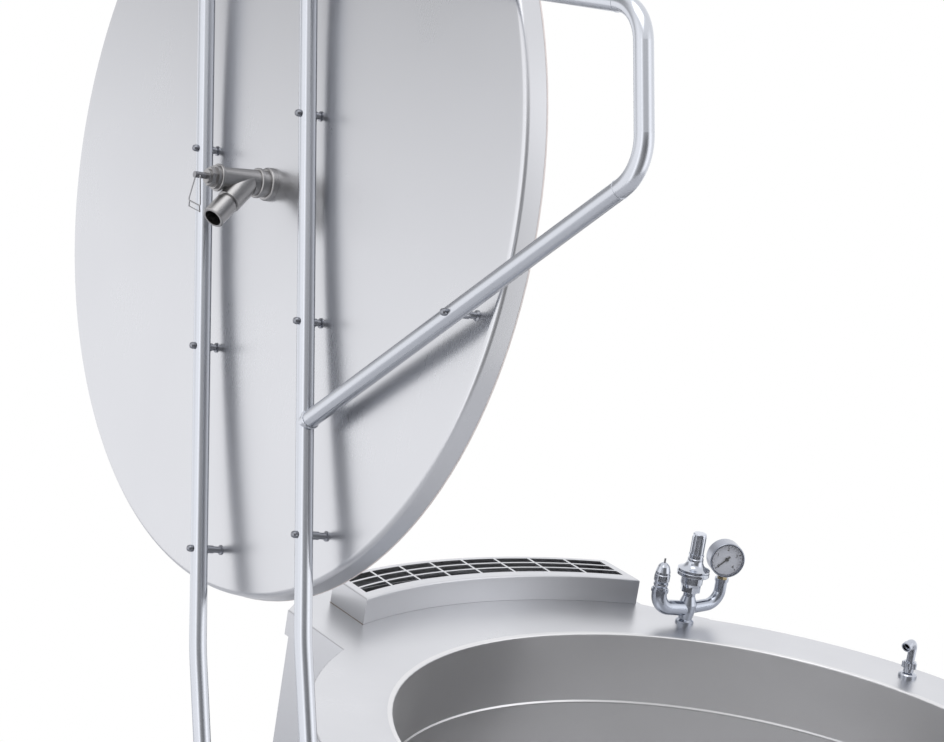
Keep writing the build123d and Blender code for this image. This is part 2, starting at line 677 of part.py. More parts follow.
def hinge_bush(y):
    r_in = SHAFT_R + RUNNING
    bush = disc(r_in + BUSH_WALL, 0, BLOCK_LENGTH) - disc(r_in, -1, BLOCK_LENGTH + 1)
    return along_y(bush, y - BLOCK_LENGTH / 2)


def block_bolts():
    foot_top = COLUMN_Z + SEAT + BLOCK_FOOT_T + WELD_GAP
    group = []
    for y in (BLOCK_FRONT_Y, BLOCK_REAR_Y):
        for x in (-BLOCK_BOLT_SPAN / 2, BLOCK_BOLT_SPAN / 2):
            head = Pos(0, 0, foot_top) * extrude(RegularPolygon(BLOCK_BOLT_R * 1.9, 6), BLOCK_BOLT_R * 1.3)
            shank = disc(BLOCK_BOLT_R, COLUMN_Z - 4 * SHEET, foot_top + 1)
            group.append(Pos(HINGE_X + x, y) * (head + shank))
    return Compound(children=group)


def hinge_column():
    """Folded-sheet column on the floor that carries the hinge."""
    length = COLUMN_REAR - COLUMN_FRONT
    centre = (HINGE_X, (COLUMN_REAR + COLUMN_FRONT) / 2)
    plan = RectangleRounded(2 * COLUMN_HALF_X, length, COLUMN_ROUND)
    body = extrude(plan, COLUMN_Z)
    body = fillet(body.edges().group_by(Axis.Z)[-1], SHEET)
    inner = RectangleRounded(2 * (COLUMN_HALF_X - SHEET), length - 2 * SHEET, COLUMN_ROUND - SHEET)
    body -= Pos(0, 0, SHEET) * extrude(inner, COLUMN_Z - 3 * SHEET)
    column = Pos(*centre) * body
    for y in (BLOCK_FRONT_Y, BLOCK_REAR_Y):
        for x in (-BLOCK_BOLT_SPAN / 2, BLOCK_BOLT_SPAN / 2):
            column -= Pos(HINGE_X + x, y, COLUMN_Z) * Cylinder(BLOCK_BOLT_R + SEAT, 8 * SHEET)
    return column - Pos(HINGE_X, COLUMN_FRONT, KNOB_Z) * Rot(90, 0, 0) * Cylinder(KNOB_SPINDLE + RUNNING, 4 * SHEET)


def column_bridge():
    """Box beam between the casing and the hinge column."""
    front = COLUMN_FRONT + BRIDGE_INSET
    rear = COLUMN_REAR - BRIDGE_INSET
    top = DECK_Z - BRIDGE_TOP_DROP
    x_low = HINGE_X + COLUMN_HALF_X + SEAT
    beam = Pos(x_low, (front + rear) / 2, top - BRIDGE_H / 2) * Box(
        -x_low, rear - front, BRIDGE_H, align=(Align.MIN, Align.CENTER, Align.CENTER))
    hollow = Pos(x_low - 1, (front + rear) / 2, top - BRIDGE_H / 2) * Box(
        -x_low + 2, rear - front - 2 * SHEET, BRIDGE_H - 2 * SHEET,
        align=(Align.MIN, Align.CENTER, Align.CENTER))
    return beam - hollow - disc(CASING_R + SEAT, 0, DECK_Z)


# ---------------------------------------------------------------- vent valve
VENT_BASE = crown_height(hypot(VENT_X, VENT_Y) + VENT_FLANGE_R) + WELD_GAP
VENT_TOP = VENT_BODY_H + VENT_BONNET_H


def on_lid(shape):
    """Stand a piece drawn about Z on the lid, its +X towards the hinge, then open the lid."""
    return opened(Pos(VENT_X, VENT_Y, LID_Z + VENT_BASE) * Rot(0, 0, 180) * shape)


def vent_flange():
    flange = fillet(disc(VENT_FLANGE_R, -LID_SHEET, VENT_FLANGE_T).edges().group_by(Axis.Z)[-1], 3.0)
    flange += disc(VENT_NECK_R, 0, VENT_NECK_H)
    return on_lid(flange - disc(VENT_BORE, -2 * LID_SHEET, 2 * VENT_NECK_H)) - lid_ball()


def lid_ball():
    return opened(lid_crown(WELD_GAP))


def vent_body():
    low = VENT_NECK_H + WELD_GAP
    collar = low + VENT_COLLAR_T
    body = lathe([(0, low), (VENT_COLLAR_R, low), (VENT_COLLAR_R, collar - 1), (VENT_COLLAR_R - 1, collar),
                  (VENT_ROOT_R, collar), (VENT_BODY_R, VENT_BODY_H), (0, VENT_BODY_H)])
    lean = Rot(0, 0, VENT_SPOUT_SWING) * Pos(0, 0, VENT_SPOUT_H) * Rot(0, 45, 0)
    spout = lathe([(0, 0), (VENT_SPOUT_R + 1.2, 0), (VENT_SPOUT_R + 1.2, VENT_SPOUT_NECK),
                   (VENT_SPOUT_R - VENT_GROOVE, VENT_SPOUT_NECK + 1),
                   (VENT_SPOUT_R - VENT_GROOVE, VENT_SPOUT_NECK + 3),
                   (VENT_SPOUT_R, VENT_SPOUT_NECK + 4), (VENT_SPOUT_R, VENT_SPOUT_L - 1),
                   (VENT_SPOUT_R - 1, VENT_SPOUT_L), (0, VENT_SPOUT_L)])
    bore = disc(VENT_SPOUT_BORE, VENT_SPOUT_R / 2, VENT_SPOUT_L + 1)
    body = body + lean * spout - lean * bore - disc(VENT_BORE, low - 1, VENT_SPOUT_H)
    return on_lid(body - disc(VENT_STEM_R + RUNNING, VENT_SPOUT_H, VENT_BODY_H + 1))


def vent_bonnet():
    low = VENT_BODY_H + WELD_GAP
    ring_top = low + VENT_RING_T
    cap = fillet(disc(VENT_RING_R, low, ring_top).edges(), 1.2)
    cap += disc(VENT_RING_R - 2.5, ring_top, ring_top + VENT_RING_T)
    cap += Pos(0, 0, ring_top) * extrude(RegularPolygon(VENT_BONNET_R, 6), VENT_BONNET_H - VENT_RING_T - 3)
    cap += disc(VENT_BONNET_R * 0.7, ring_top, VENT_TOP)
    return on_lid(cap - disc(VENT_STEM_R + RUNNING, low - 1, VENT_TOP + 1))


def vent_stem():
    top = VENT_TOP + VENT_STEM_OUT
    stem = disc(VENT_STEM_R, VENT_SPOUT_H + VENT_SPOUT_R, top)
    pin = Pos(0, 0, top - BAIL_PIN_OUT) * Rot(90, 0, 0) * Cylinder(BAIL_WIRE + RUNNING, 3 * VENT_STEM_R)
    return on_lid(stem - pin)


def vent_bail():
    """Bent wire that hangs from the stem's cross hole."""
    top = VENT_TOP + VENT_STEM_OUT - BAIL_PIN_OUT
    half = BAIL_WIDTH / 2
    ear = VENT_STEM_R + MOVING + BAIL_WIRE
    points = [(0, 0, top), (0, ear, top), (BAIL_LENGTH, half, top), (BAIL_LENGTH, -half, top),
              (0, -ear, top), (0, -BAIL_WIRE, top)]
    loop = FilletPolyline(*points, radius=[1.2, 2.5, 2.5, 1.2])
    wire = sweep(Plane(origin=loop @ 0, z_dir=loop % 0) * Circle(BAIL_WIRE), path=loop)
    hang = Pos(0, 0, top) * Rot(0, 90 - LID_OPEN, 0) * Pos(0, 0, -top)
    return on_lid(hang * wire)


# ---------------------------------------------------------------- safety group
def on_deck(shape, radius, angle):
    x, y = polar(radius, angle)
    return Pos(x, y, DECK_Z) * shape


def manifold():
    """Branched casting: stub on the deck, anchor-shaped cross tube, three upright sockets."""
    z = MANIFOLD_Z
    end_z = z + MANIFOLD_RISE
    left = FilletPolyline((0, 0, z), (-MANIFOLD_ARM, 0, end_z), (-MANIFOLD_ARM, 0, MANIFOLD_LEFT_H),
                          radius=MANIFOLD_BEND)
    right = FilletPolyline((0, 0, z), (MANIFOLD_ARM, 0, end_z), (MANIFOLD_ARM, 0, MANIFOLD_RIGHT_H),
                           radius=MANIFOLD_BEND)
    hub = lathe([(0, WELD_GAP), (MANIFOLD_STUB_R + 5, WELD_GAP), (MANIFOLD_STUB_R + 5, 4),
                 (MANIFOLD_STUB_R + 1, 7), (MANIFOLD_STUB_R + 4, z - 4), (MANIFOLD_STUB_R + 5, z + 8),
                 (MANIFOLD_STUB_R, MANIFOLD_CENTRE_H - 6), (MANIFOLD_STUB_R, MANIFOLD_CENTRE_H),
                 (0, MANIFOLD_CENTRE_H)])
    body = hub + pipe_along(left, MANIFOLD_FAT) + pipe_along(right, MANIFOLD_TUBE)
    body += disc(MANIFOLD_STUB_R, -3 * DECK_T, z)
    body += Pos(MANIFOLD_ARM, 0) * disc(MANIFOLD_TUBE + 1.5, MANIFOLD_RIGHT_H - 5, MANIFOLD_RIGHT_H)
    body += Pos(-MANIFOLD_ARM, 0) * disc(MANIFOLD_FAT + 1.5, MANIFOLD_LEFT_H - 5, MANIFOLD_LEFT_H)
    return on_deck(body, SAFETY_R, SAFETY_ANGLE)


RELIEF_FLANGE = MANIFOLD_CENTRE_H + RELIEF_FLANGE_H
RELIEF_TOP = RELIEF_FLANGE + WELD_GAP + RELIEF_BELL_H


def relief_body():
    low = MANIFOLD_CENTRE_H + WELD_GAP
    flange_low = RELIEF_FLANGE - 7
    body = lathe([(0, low), (12, low), (13, low + 6), (18, low + 16), (18, flange_low), (0, flange_low)])
    nut = Pos(0, 0, low + 2) * extrude(RegularPolygon(RELIEF_HEX, 6), 10)
    flange = fillet(disc(RELIEF_FLANGE_R, flange_low, RELIEF_FLANGE).edges(), 1.5)
    return on_deck(body + nut + flange, SAFETY_R, SAFETY_ANGLE)


def relief_bonnet():
    low = RELIEF_FLANGE + WELD_GAP
    r = RELIEF_FLANGE_R
    neck = RELIEF_CAP_R + 1
    with BuildSketch(Plane.XZ) as half:
        with BuildLine():
            Polyline((0, RELIEF_TOP), (0, low), (r - 1.5, low), (r - 0.5, low + 1), (r - 0.5, low + 4),
                     (r - 4, low + 5.5))
            ThreePointArc((r - 4, low + 5.5), ((r + neck) / 2 - 4, low + 11), (neck + 1, RELIEF_TOP - 5))
            Polyline((neck + 1, RELIEF_TOP - 5), (neck, RELIEF_TOP - 4), (neck, RELIEF_TOP), (0, RELIEF_TOP))
        make_face()
    bell = revolve(half.sketch, Axis.Z)
    return on_deck(bell - disc(RELIEF_CAP_R / 3 + RUNNING, low - 1, RELIEF_TOP + 1), SAFETY_R, SAFETY_ANGLE)


def relief_cap():
    low = RELIEF_TOP + WELD_GAP
    high = low + RELIEF_CAP_H
    cap = disc(RELIEF_CAP_R + 1.5, low, low + 3)
    cap += fillet(disc(RELIEF_CAP_R, low, high).edges().group_by(Axis.Z)[-1], 2.0)
    for i in range(12):
        x, y = polar(RELIEF_CAP_R, i * 30)
        cap += Pos(x, y) * disc(RELIEF_RIB, low + 3, high - 6)
    cap += disc(RELIEF_CAP_R / 3, low - RELIEF_BELL_H * 0.8, low)
    return on_deck(cap, SAFETY_R, SAFETY_ANGLE)


def vacuum_valve():
    low = MANIFOLD_LEFT_H + WELD_GAP
    body = lathe([(0, low), (12, low), (12, low + 3), (10.5, low + 4), (12, low + 7), (12, low + 10),
                  (10.5, low + 11), (12.8, low + 14), (12.8, low + 24), (12, low + 25), (12, low + 29),
                  (9.5, low + 38), (7.5, low + 41), (3.5, low + VACUUM_H), (0, low + VACUUM_H)])
    body -= disc(VACUUM_PIN_R + RUNNING, low + 12, low + VACUUM_H + 1)
    return on_deck(Pos(-MANIFOLD_ARM, 0) * body, SAFETY_R, SAFETY_ANGLE)


def vacuum_pin():
    low = MANIFOLD_LEFT_H + WELD_GAP
    pin = disc(VACUUM_PIN_R, low + 18, low + VACUUM_H + VACUUM_PIN_OUT)
    return on_deck(Pos(-MANIFOLD_ARM, 0) * pin, SAFETY_R, SAFETY_ANGLE)


def gauge_nipple():
    low = MANIFOLD_RIGHT_H + WELD_GAP
    high = GAUGE_H - GAUGE_R + 2.5
    nipple = disc(5.5, low, high) + Pos(0, 0, low) * extrude(RegularPolygon(8.5, 6), (high - low) * 0.5)
    return on_deck(Pos(MANIFOLD_ARM, 0) * nipple, SAFETY_R, SAFETY_ANGLE) - gauge_can(WELD_GAP)


def gauge_place(shape):
    """Put a piece drawn about Z, face up, at the gauge with its face turned outwards."""
    face = Pos(MANIFOLD_ARM, 0, GAUGE_H) * Rot(0, 0, GAUGE_TURN) * Rot(90, 0, 0)
    return on_deck(face * shape, SAFETY_R, SAFETY_ANGLE)


def gauge_can(clearance):
    low = -GAUGE_DEPTH / 2 - clearance
    return gauge_place(disc(GAUGE_R + clearance, low, GAUGE_DEPTH / 2 + clearance))


def gauge_case():
    half = GAUGE_DEPTH / 2
    can = disc(GAUGE_R, -half, half)
    can = fillet(can.edges().filter_by(GeomType.CIRCLE), 2.0)
    return gauge_place(can - disc(GAUGE_R - GAUGE_RING, half - 8, half + 1))


def gauge_dial():
    half = GAUGE_DEPTH / 2
    dial = disc(GAUGE_R - GAUGE_RING - SEAT, half - 8 + WELD_GAP, half - 7)
    return gauge_place(dial - disc(1.2 + RUNNING, half - 9, half))


def gauge_needle():
    half = GAUGE_DEPTH / 2
    low = half - 6.4
    turn = Rot(0, 0, 225)
    blade = extrude(make_face(Polyline((-7, -1.6), (-7, 1.6), (20, 0.5), (20, -0.5), close=True)), 0.8)
    needle = Pos(0, 0, low) * turn * blade + disc(3.2, low, low + 1.4) + disc(1.2, half - 7.6, low)
    return gauge_place(needle)


def gauge_glass():
    half = GAUGE_DEPTH / 2
    return gauge_place(disc(GAUGE_R - GAUGE_RING - SEAT, half - 3, half - 1.2))


# ---------------------------------------------------------------- fill spout
def spout_flange():
    r = SPOUT_FLANGE_R
    neck = SPOUT_PIPE_R + 1.5
    body = lathe([(0, WELD_GAP), (r, WELD_GAP), (r, 4), (r - 2, 6), (neck, 8), (neck, SPOUT_FLANGE_H),
                  (0, SPOUT_FLANGE_H)])
    body += disc(SPOUT_PIPE_R, -4 * DECK_T, 1)
    return on_deck(body - disc(SPOUT_INNER, -5 * DECK_T, 2 * SPOUT_FLANGE_H), SPOUT_R, SPOUT_ANGLE)


def spout_nut():
    """Lobed hand nut that clamps the swivel pipe."""
    low = SPOUT_FLANGE_H + WELD_GAP
    nut = disc(SPOUT_NUT_R - 3, low, low + SPOUT_NUT_H)
    for i in range(SPOUT_LOBES):
        x, y = polar(SPOUT_NUT_R - 4, i * 360 / SPOUT_LOBES)
        nut += Pos(x, y) * disc(4, low + 1, low + SPOUT_NUT_H - 1)
    nut -= disc(SPOUT_PIPE_R + RUNNING, low - 1, low + SPOUT_NUT_H + 1)
    return on_deck(nut, SPOUT_R, SPOUT_ANGLE)


def fill_spout():
    start_z = SPOUT_FLANGE_H + MOVING
    mouth = (-SPOUT_REACH, 0, SPOUT_TOP - SPOUT_DROP)
    path = FilletPolyline((0, 0, start_z), (0, 0, SPOUT_TOP), mouth, radius=SPOUT_BEND)
    pipe = pipe_along(path, SPOUT_PIPE_R)
    end = Plane(origin=mouth, z_dir=path % 1)
    nozzle = end * Pos(0, 0, -SPOUT_BEND / 2) * extrude(Circle(SPOUT_MOUTH_R), SPOUT_BEND / 2)
    bore = end * Pos(0, 0, -SPOUT_BEND / 2) * extrude(Circle(SPOUT_BORE), SPOUT_BEND)
    pipe = pipe + nozzle - bore - pipe_along(path, SPOUT_INNER)
    return on_deck(Rot(0, 0, SPOUT_SWING) * pipe, SPOUT_R, SPOUT_ANGLE)


# ---------------------------------------------------------------- drain
FLANGE_Y = -(CASING_R + DRAIN_OUT)


def forward(shape, y):
    """Lay a piece drawn upwards from Z = 0 along -Y on the drain's axis, from y."""
    return Pos(0, y, DRAIN_Z) * Rot(90, 0, 0) * shape


def drain_pipe():
    top = DECK_Z - VESSEL_STRAIGHT - VESSEL_DISH - VESSEL_WALL - 1
    pipe = tube_along([(0, 0, top), (0, 0, DRAIN_Z), (0, FLANGE_Y, DRAIN_Z)], DRAIN_R * 2.2, DRAIN_R, DRAIN_WALL)
    flange = forward(ring(DRAIN_FLANGE_R, DRAIN_R - DRAIN_WALL, 0, 8), FLANGE_Y + 8)
    return pipe + flange


def cock_body():
    start = FLANGE_Y - WELD_GAP
    bore = DRAIN_R - DRAIN_WALL
    centre = start - COCK_LENGTH / 2
    barrel = forward(disc(DRAIN_R + 3, 0, COCK_LENGTH), start)
    barrel += forward(disc(DRAIN_FLANGE_R, 0, 8), start)
    barrel += forward(disc(DRAIN_R + 6, 0, 10), start - COCK_LENGTH + 10)
    barrel += Pos(0, centre, DRAIN_Z - COCK_H) * disc(COCK_BODY_R, 0, 2 * COCK_H)
    barrel -= Pos(0, centre, DRAIN_Z - COCK_H) * disc(bore + 4 + RUNNING, 4, 3 * COCK_H)
    return barrel - forward(disc(bore, -1, COCK_LENGTH + 1), start)


def cock_plug():
    centre = FLANGE_Y - WELD_GAP - COCK_LENGTH / 2
    bore = DRAIN_R - DRAIN_WALL
    plug = disc(bore + 4, 4 + MOVING, 2 * COCK_H) + disc(9, 2 * COCK_H, 2 * COCK_H + 26)
    plug = Pos(0, centre, DRAIN_Z - COCK_H) * plug
    return plug - Pos(0, centre, DRAIN_Z) * Rot(0, 90, 0) * Cylinder(bore * 0.8, 6 * bore)


def cock_cover():
    centre = FLANGE_Y - WELD_GAP - COCK_LENGTH / 2
    cover = disc(COCK_BODY_R, 0, 7) - disc(9 + RUNNING, -1, 8)
    return Pos(0, centre, DRAIN_Z + COCK_H + MOVING) * fillet(cover.edges().group_by(Axis.Z)[-1], 1.5)


def cock_lever():
    centre = FLANGE_Y - WELD_GAP - COCK_LENGTH / 2
    z = DRAIN_Z + COCK_H + 12
    hub = disc(16, 0, 14) - disc(9 + WELD_GAP, -1, 15)
    path = FilletPolyline((14, 0, 7), (60, 0, 7), (LEVER_LENGTH, 0, 34), radius=60)
    bar = pipe_along(path, 6.5)
    return Pos(0, centre, z) * (hub + bar)


def lever_grip():
    centre = FLANGE_Y - WELD_GAP - COCK_LENGTH / 2
    z = DRAIN_Z + COCK_H + 12
    rise = degrees(atan2(27, LEVER_LENGTH - 60))
    grip = lathe([(0, 0), (9, 2), (12, 12), (11, 60), (13, 74), (9, 84), (0, 86)])
    end = Pos(LEVER_LENGTH, centre, z + 34) * Rot(0, 90 - rise, 0)
    return end * (Pos(0, 0, WELD_GAP) * grip)


def heat_knob():
    """Burner knob on the front of the hinge column."""
    spindle = disc(KNOB_SPINDLE, -4 * SHEET, 2)
    knob = fillet(disc(KNOB_R, 0, KNOB_H).edges().group_by(Axis.Z)[-1], 3)
    grip = Pos(0, 0, KNOB_H) * Box(7, 2 * KNOB_R - 4, 10)
    place = Pos(HINGE_X, COLUMN_FRONT - MOVING, KNOB_Z) * Rot(90, 0, 0)
    return place * (knob + grip + spindle)


NODES = {
    "vessel": vessel, "steam_jacket": steam_jacket, "insulation_blanket": insulation_blanket,
    "deck": deck, "outer_casing": outer_casing, "rear_housing": rear_housing, "base_plate": base_plate,
    "legs": legs, "feet": feet, "flue_box": flue_box, "flue_duct": flue_duct, "burner_ring": burner_ring,
    "lid_shell": lid_shell, "lid_gasket": lid_gasket, "rear_arm": lambda: arm(1),
    "front_arm": lambda: arm(-1), "lid_handle": lid_handle, "arm_spacers": arm_spacers,
    "arm_bolts": arm_bolts, "hinge_barrel": hinge_barrel, "hinge_shaft": hinge_shaft,
    "front_bearing_block": lambda: bearing_block(BLOCK_FRONT_Y),
    "rear_bearing_block": lambda: bearing_block(BLOCK_REAR_Y),
    "front_bush": lambda: hinge_bush(BLOCK_FRONT_Y), "rear_bush": lambda: hinge_bush(BLOCK_REAR_Y),
    "block_bolts": block_bolts, "hinge_column": hinge_column, "column_bridge": column_bridge,
    "vent_flange": vent_flange, "vent_body": vent_body, "vent_bonnet": vent_bonnet,
    "vent_stem": vent_stem, "vent_bail": vent_bail, "safety_manifold": manifold,
    "relief_body": relief_body, "relief_bonnet": relief_bonnet, "relief_cap": relief_cap,
    "vacuum_valve": vacuum_valve, "vacuum_pin": vacuum_pin, "gauge_nipple": gauge_nipple,
    "gauge_case": gauge_case, "gauge_dial": gauge_dial, "gauge_needle": gauge_needle,
    "gauge_glass": gauge_glass, "spout_flange": spout_flange, "spout_nut": spout_nut,
    "fill_spout": fill_spout, "drain_pipe": drain_pipe, "cock_body": cock_body, "cock_plug": cock_plug,
    "cock_cover": cock_cover, "cock_lever": cock_lever, "lever_grip": lever_grip, "heat_knob": heat_knob,
}

os.makedirs("parts", exist_ok=True)
for name, make in NODES.items():
    shape = make()
    export_step(shape, f"parts/{name}.step")
    print(name, round(shape.volume))
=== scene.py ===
# %% [markdown]
# # A steam jacketed kettle with its lid open
#
# This file is worked through from top to bottom, one cell at a time. The kettle's solid
# parts come from a CAD model, already at their right size and place. Here they get their
# finishes: ground sheet steel, drawn tube, polished fittings, silicone and glass. A few
# thin things that CAD leaves out, such as weld beads and the print on the gauge, are made
# here as meshes. Everything is in metres, with +Z up and the floor at zero.

# %% Load the frame
import bmesh
import bpy
import json
import math
from mathutils import Matrix, Vector


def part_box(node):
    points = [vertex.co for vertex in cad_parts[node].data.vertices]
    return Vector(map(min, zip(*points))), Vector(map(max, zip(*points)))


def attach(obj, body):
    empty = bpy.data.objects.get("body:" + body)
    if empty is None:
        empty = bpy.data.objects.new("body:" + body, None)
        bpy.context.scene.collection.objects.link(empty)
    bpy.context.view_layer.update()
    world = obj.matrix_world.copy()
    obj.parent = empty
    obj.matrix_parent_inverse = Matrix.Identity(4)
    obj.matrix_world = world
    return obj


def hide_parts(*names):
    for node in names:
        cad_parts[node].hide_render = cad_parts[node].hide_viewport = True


MM = 0.001                     # sizes of small things are written in millimetres

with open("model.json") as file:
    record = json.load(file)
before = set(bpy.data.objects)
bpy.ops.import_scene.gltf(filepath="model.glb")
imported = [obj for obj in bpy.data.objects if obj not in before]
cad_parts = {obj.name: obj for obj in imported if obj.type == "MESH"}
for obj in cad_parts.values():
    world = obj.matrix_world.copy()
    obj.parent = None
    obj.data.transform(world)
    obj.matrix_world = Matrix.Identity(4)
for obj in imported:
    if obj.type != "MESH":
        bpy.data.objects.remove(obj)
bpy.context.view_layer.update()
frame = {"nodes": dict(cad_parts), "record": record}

# %% [markdown]
# ## Objects and their data
#
# Blender keeps a shape, lamp or camera apart from the object that stands in the scene with
# it. A mesh is shaped as a bmesh, then written into mesh data, then given an object. These
# steps come back for every piece, so they are two short helpers. The editor's Add menu does
# the same at once, but it leans on what is selected.

# %% Two helpers for whatever is added
def put(name, data):
    """Put mesh, camera or lamp data into the scene as an object."""
    piece = bpy.data.objects.new(name, data)
    bpy.context.scene.collection.objects.link(piece)
    return piece


def mesh_data(name, mesh):
    """Turn a bmesh into mesh data and free it."""
    data = bpy.data.meshes.new(name)
    mesh.to_mesh(data)
    mesh.free()
    return data


print("helpers: put, mesh_data")

# %% [markdown]
# ## The camera
#
# A kettle this wide is best shown from far off with a long lens, so that the round mouth
# isn't distorted. The camera stands at the left front, a little higher than the open
# lid's top edge, and is rolled by nine degrees, so that upright things lean to the right.
# One could aim it with a Track To constraint, but a constraint can't hold a roll, so the
# camera gets its three directions as the columns of a matrix: right, up, and backwards.

# %% Place the camera
CAMERA_PLACE = Vector((-2.7099, -3.0432, 2.4025))
CAMERA_RIGHT = Vector((0.828972, -0.538053, 0.152655))
CAMERA_AHEAD = Vector((0.559232, 0.793505, -0.240020))
SENSOR_MM = 36.0
FRAME_WIDTH = 944              # pixels
FOCAL_PIXELS = 3000.0
FARTHEST = 60.0                # metres

camera_data = bpy.data.cameras.new("kettle_camera")
camera_data.sensor_width = SENSOR_MM
camera_data.lens = SENSOR_MM * FOCAL_PIXELS / FRAME_WIDTH
camera_data.clip_end = FARTHEST
camera = put("kettle_camera", camera_data)
camera_up = CAMERA_RIGHT.cross(CAMERA_AHEAD).normalized()
turn = Matrix((CAMERA_RIGHT, camera_up, -CAMERA_AHEAD)).transposed()
camera.matrix_world = Matrix.Translation(CAMERA_PLACE) @ turn.to_4x4()
bpy.context.scene.camera = camera
print("lens", round(camera_data.lens, 1), "mm")

# %% [markdown]
# ## Colour and nodes
#
# Steel has no colour of its own: it shows the room. So the room comes before the metal.
# The helpers below are used for it and for every finish after it: one turns the usual hex
# colours into linear light, the other adds one shader node with its settings and links.


# %% Colour and node helpers
def linear(hex_code):
    """Turn an sRGB hex colour into the linear values that Blender's shaders want."""
    channels = [int(hex_code[i:i + 2], 16) / 255 for i in (1, 3, 5)]
    return [c / 12.92 if c <= 0.04045 else ((c + 0.055) / 1.055) ** 2.4 for c in channels] + [1.0]


def add(tree, kind, settings=None, **links):
    """Add one node. Settings are attributes or socket values; links are output sockets.

    A link is named for its input, with _ for a space, or by a number, as in _0.
    """
    node = tree.nodes.new(kind)
    for name, value in (settings or {}).items():
        if isinstance(name, int) or name in node.inputs:
            node.inputs[name].default_value = value
        else:
            setattr(node, name, value)
    for name, output in links.items():
        socket = int(name[1:]) if name[1:].isdigit() else name.replace("_", " ")
        tree.links.new(output, node.inputs[socket])
    return node


print("mid grey is", round(linear("#808080")[0], 3), "in linear light")

# %% [markdown]
# ## What the steel sees
#
# The room is drawn as light around the kettle: how bright it is by compass direction, once
# for a band at and below eye level and once for the band above it, with an even soft box
# overhead. Rear left is a pale wall that darkens upwards, which is what the open lid shows.
# Left front is the bright upright soft box that draws a clean line down each tube, and
# beside it the unlit part of the studio gives the dark lines that make a tube look round.
# Right front is a large bright wall, for the lid's skirt. An environment image would do
# the same, but a few named directions are easier to tune. Only the camera sees plain white.

# %% Brightness by direction
LOW_BAND = {                   # compass direction in degrees from +X: brightness
    -180: 1.4, -166: 1.4, -156: 2.1, -146: 1.3, -134: 0.55, -95: 0.25, -78: 0.5, -62: 1.9,
    -40: 1.8, -20: 1.25, 60: 1.15, 104: 1.3, 124: 1.42, 138: 1.4, 160: 1.4, 180: 1.4}
HIGH_BAND = {
    -180: 1.5, -166: 1.4, -156: 2.1, -146: 1.3, -134: 0.45, -95: 0.2, -78: 0.5, -62: 1.9,
    -40: 1.8, -20: 1.2, 38: 1.2, 54: 1.3, 80: 1.1, 98: 0.5, 130: 0.5, 146: 1.25, 165: 1.5,
    180: 1.5}
OVERHEAD = 1.2
BAND_EDGE = (-0.14, 0.10)      # heights on the unit sphere where low turns into high
OVERHEAD_EDGE = (0.42, 0.75)   # and where high turns into overhead
LIGHT_TINT = "#FDFDFF"         # a trace of blue, as daylight lamps have
BRIGHTEST = 3.0                # what white in a ramp stands for, as ramps stop at one
FULL_TURN = 360.0


def direction_ramp(tree, share, band):
    """A colour ramp that gives brightness from the share of a full turn."""
    ramp = add(tree, "ShaderNodeValToRGB", Fac=share)
    stops = ramp.color_ramp.elements
    for direction, brightness in band.items():
        place = (direction + FULL_TURN / 2) / FULL_TURN
        stop = stops[0] if place == 0 else stops[-1] if place == 1 else stops.new(place)
        stop.color = [brightness / BRIGHTEST] * 3 + [1.0]
    return ramp.outputs["Color"]


def height_share(tree, height, edge):
    """How far a height lies between the two ends of an edge, eased at both ends."""
    share = add(tree, "ShaderNodeMapRange", {
        "interpolation_type": "SMOOTHSTEP", "From Min": edge[0], "From Max": edge[1]},
        Value=height)
    return share.outputs["Result"]


print("directions:", len(LOW_BAND), "low and", len(HIGH_BAND), "high")

# %% Light around the kettle
bpy.context.scene.view_settings.view_transform = "Standard"
world = bpy.data.worlds.new("white_cove")
bpy.context.scene.world = world
world.use_nodes = True
sky = world.node_tree
sky.nodes.clear()
where = add(sky, "ShaderNodeTexCoord")
axes = add(sky, "ShaderNodeSeparateXYZ", Vector=where.outputs["Generated"])
compass = add(sky, "ShaderNodeMath", {"operation": "ARCTAN2"},
              _0=axes.outputs["Y"], _1=axes.outputs["X"])
turn_share = add(sky, "ShaderNodeMapRange", {"From Min": -math.pi, "From Max": math.pi},
                 Value=compass.outputs["Value"])
bands = add(sky, "ShaderNodeMix", {"data_type": "RGBA"},
            _0=height_share(sky, axes.outputs["Z"], BAND_EDGE),
            _6=direction_ramp(sky, turn_share.outputs["Result"], LOW_BAND),
            _7=direction_ramp(sky, turn_share.outputs["Result"], HIGH_BAND))
around = add(sky, "ShaderNodeMix", {"data_type": "RGBA", 7: [OVERHEAD / BRIGHTEST] * 3 + [1.0]},
             _0=height_share(sky, axes.outputs["Z"], OVERHEAD_EDGE), _6=bands.outputs[2])
tinted = add(sky, "ShaderNodeMix", {
    "data_type": "RGBA", "blend_type": "MULTIPLY", 0: 1.0, 7: linear(LIGHT_TINT)},
    _6=around.outputs[2])
seen = add(sky, "ShaderNodeBackground", {"Color": (1, 1, 1, 1), "Strength": 1.0})
felt = add(sky, "ShaderNodeBackground", {"Strength": BRIGHTEST}, Color=tinted.outputs[2])
ray = add(sky, "ShaderNodeLightPath")
either = add(sky, "ShaderNodeMixShader", _0=ray.outputs["Is Camera Ray"],
             _1=felt.outputs["Background"], _2=seen.outputs["Background"])
add(sky, "ShaderNodeOutputWorld", Surface=either.outputs["Shader"])
print("world nodes:", len(sky.nodes))

# %% [markdown]
# ## The floor and the lamp
#
# The steel also shows the floor, in the lower edge of the lid and in the casing. A disc
# is enough. It is hidden from the camera alone, so that the background stays white all
# round. One large soft lamp from above adds a little direction to the even light.

# %% Floor and lamp
FLOOR_RADIUS = 3.2
FLOOR_SEGMENTS = 96
LAMP_PLACE = Vector((-1.5, -0.5, 5.0))
LAMP_TARGET = Vector((0.0, 0.0, 0.9))
LAMP_SIDE = 2.6
LAMP_WATTS = 30.0

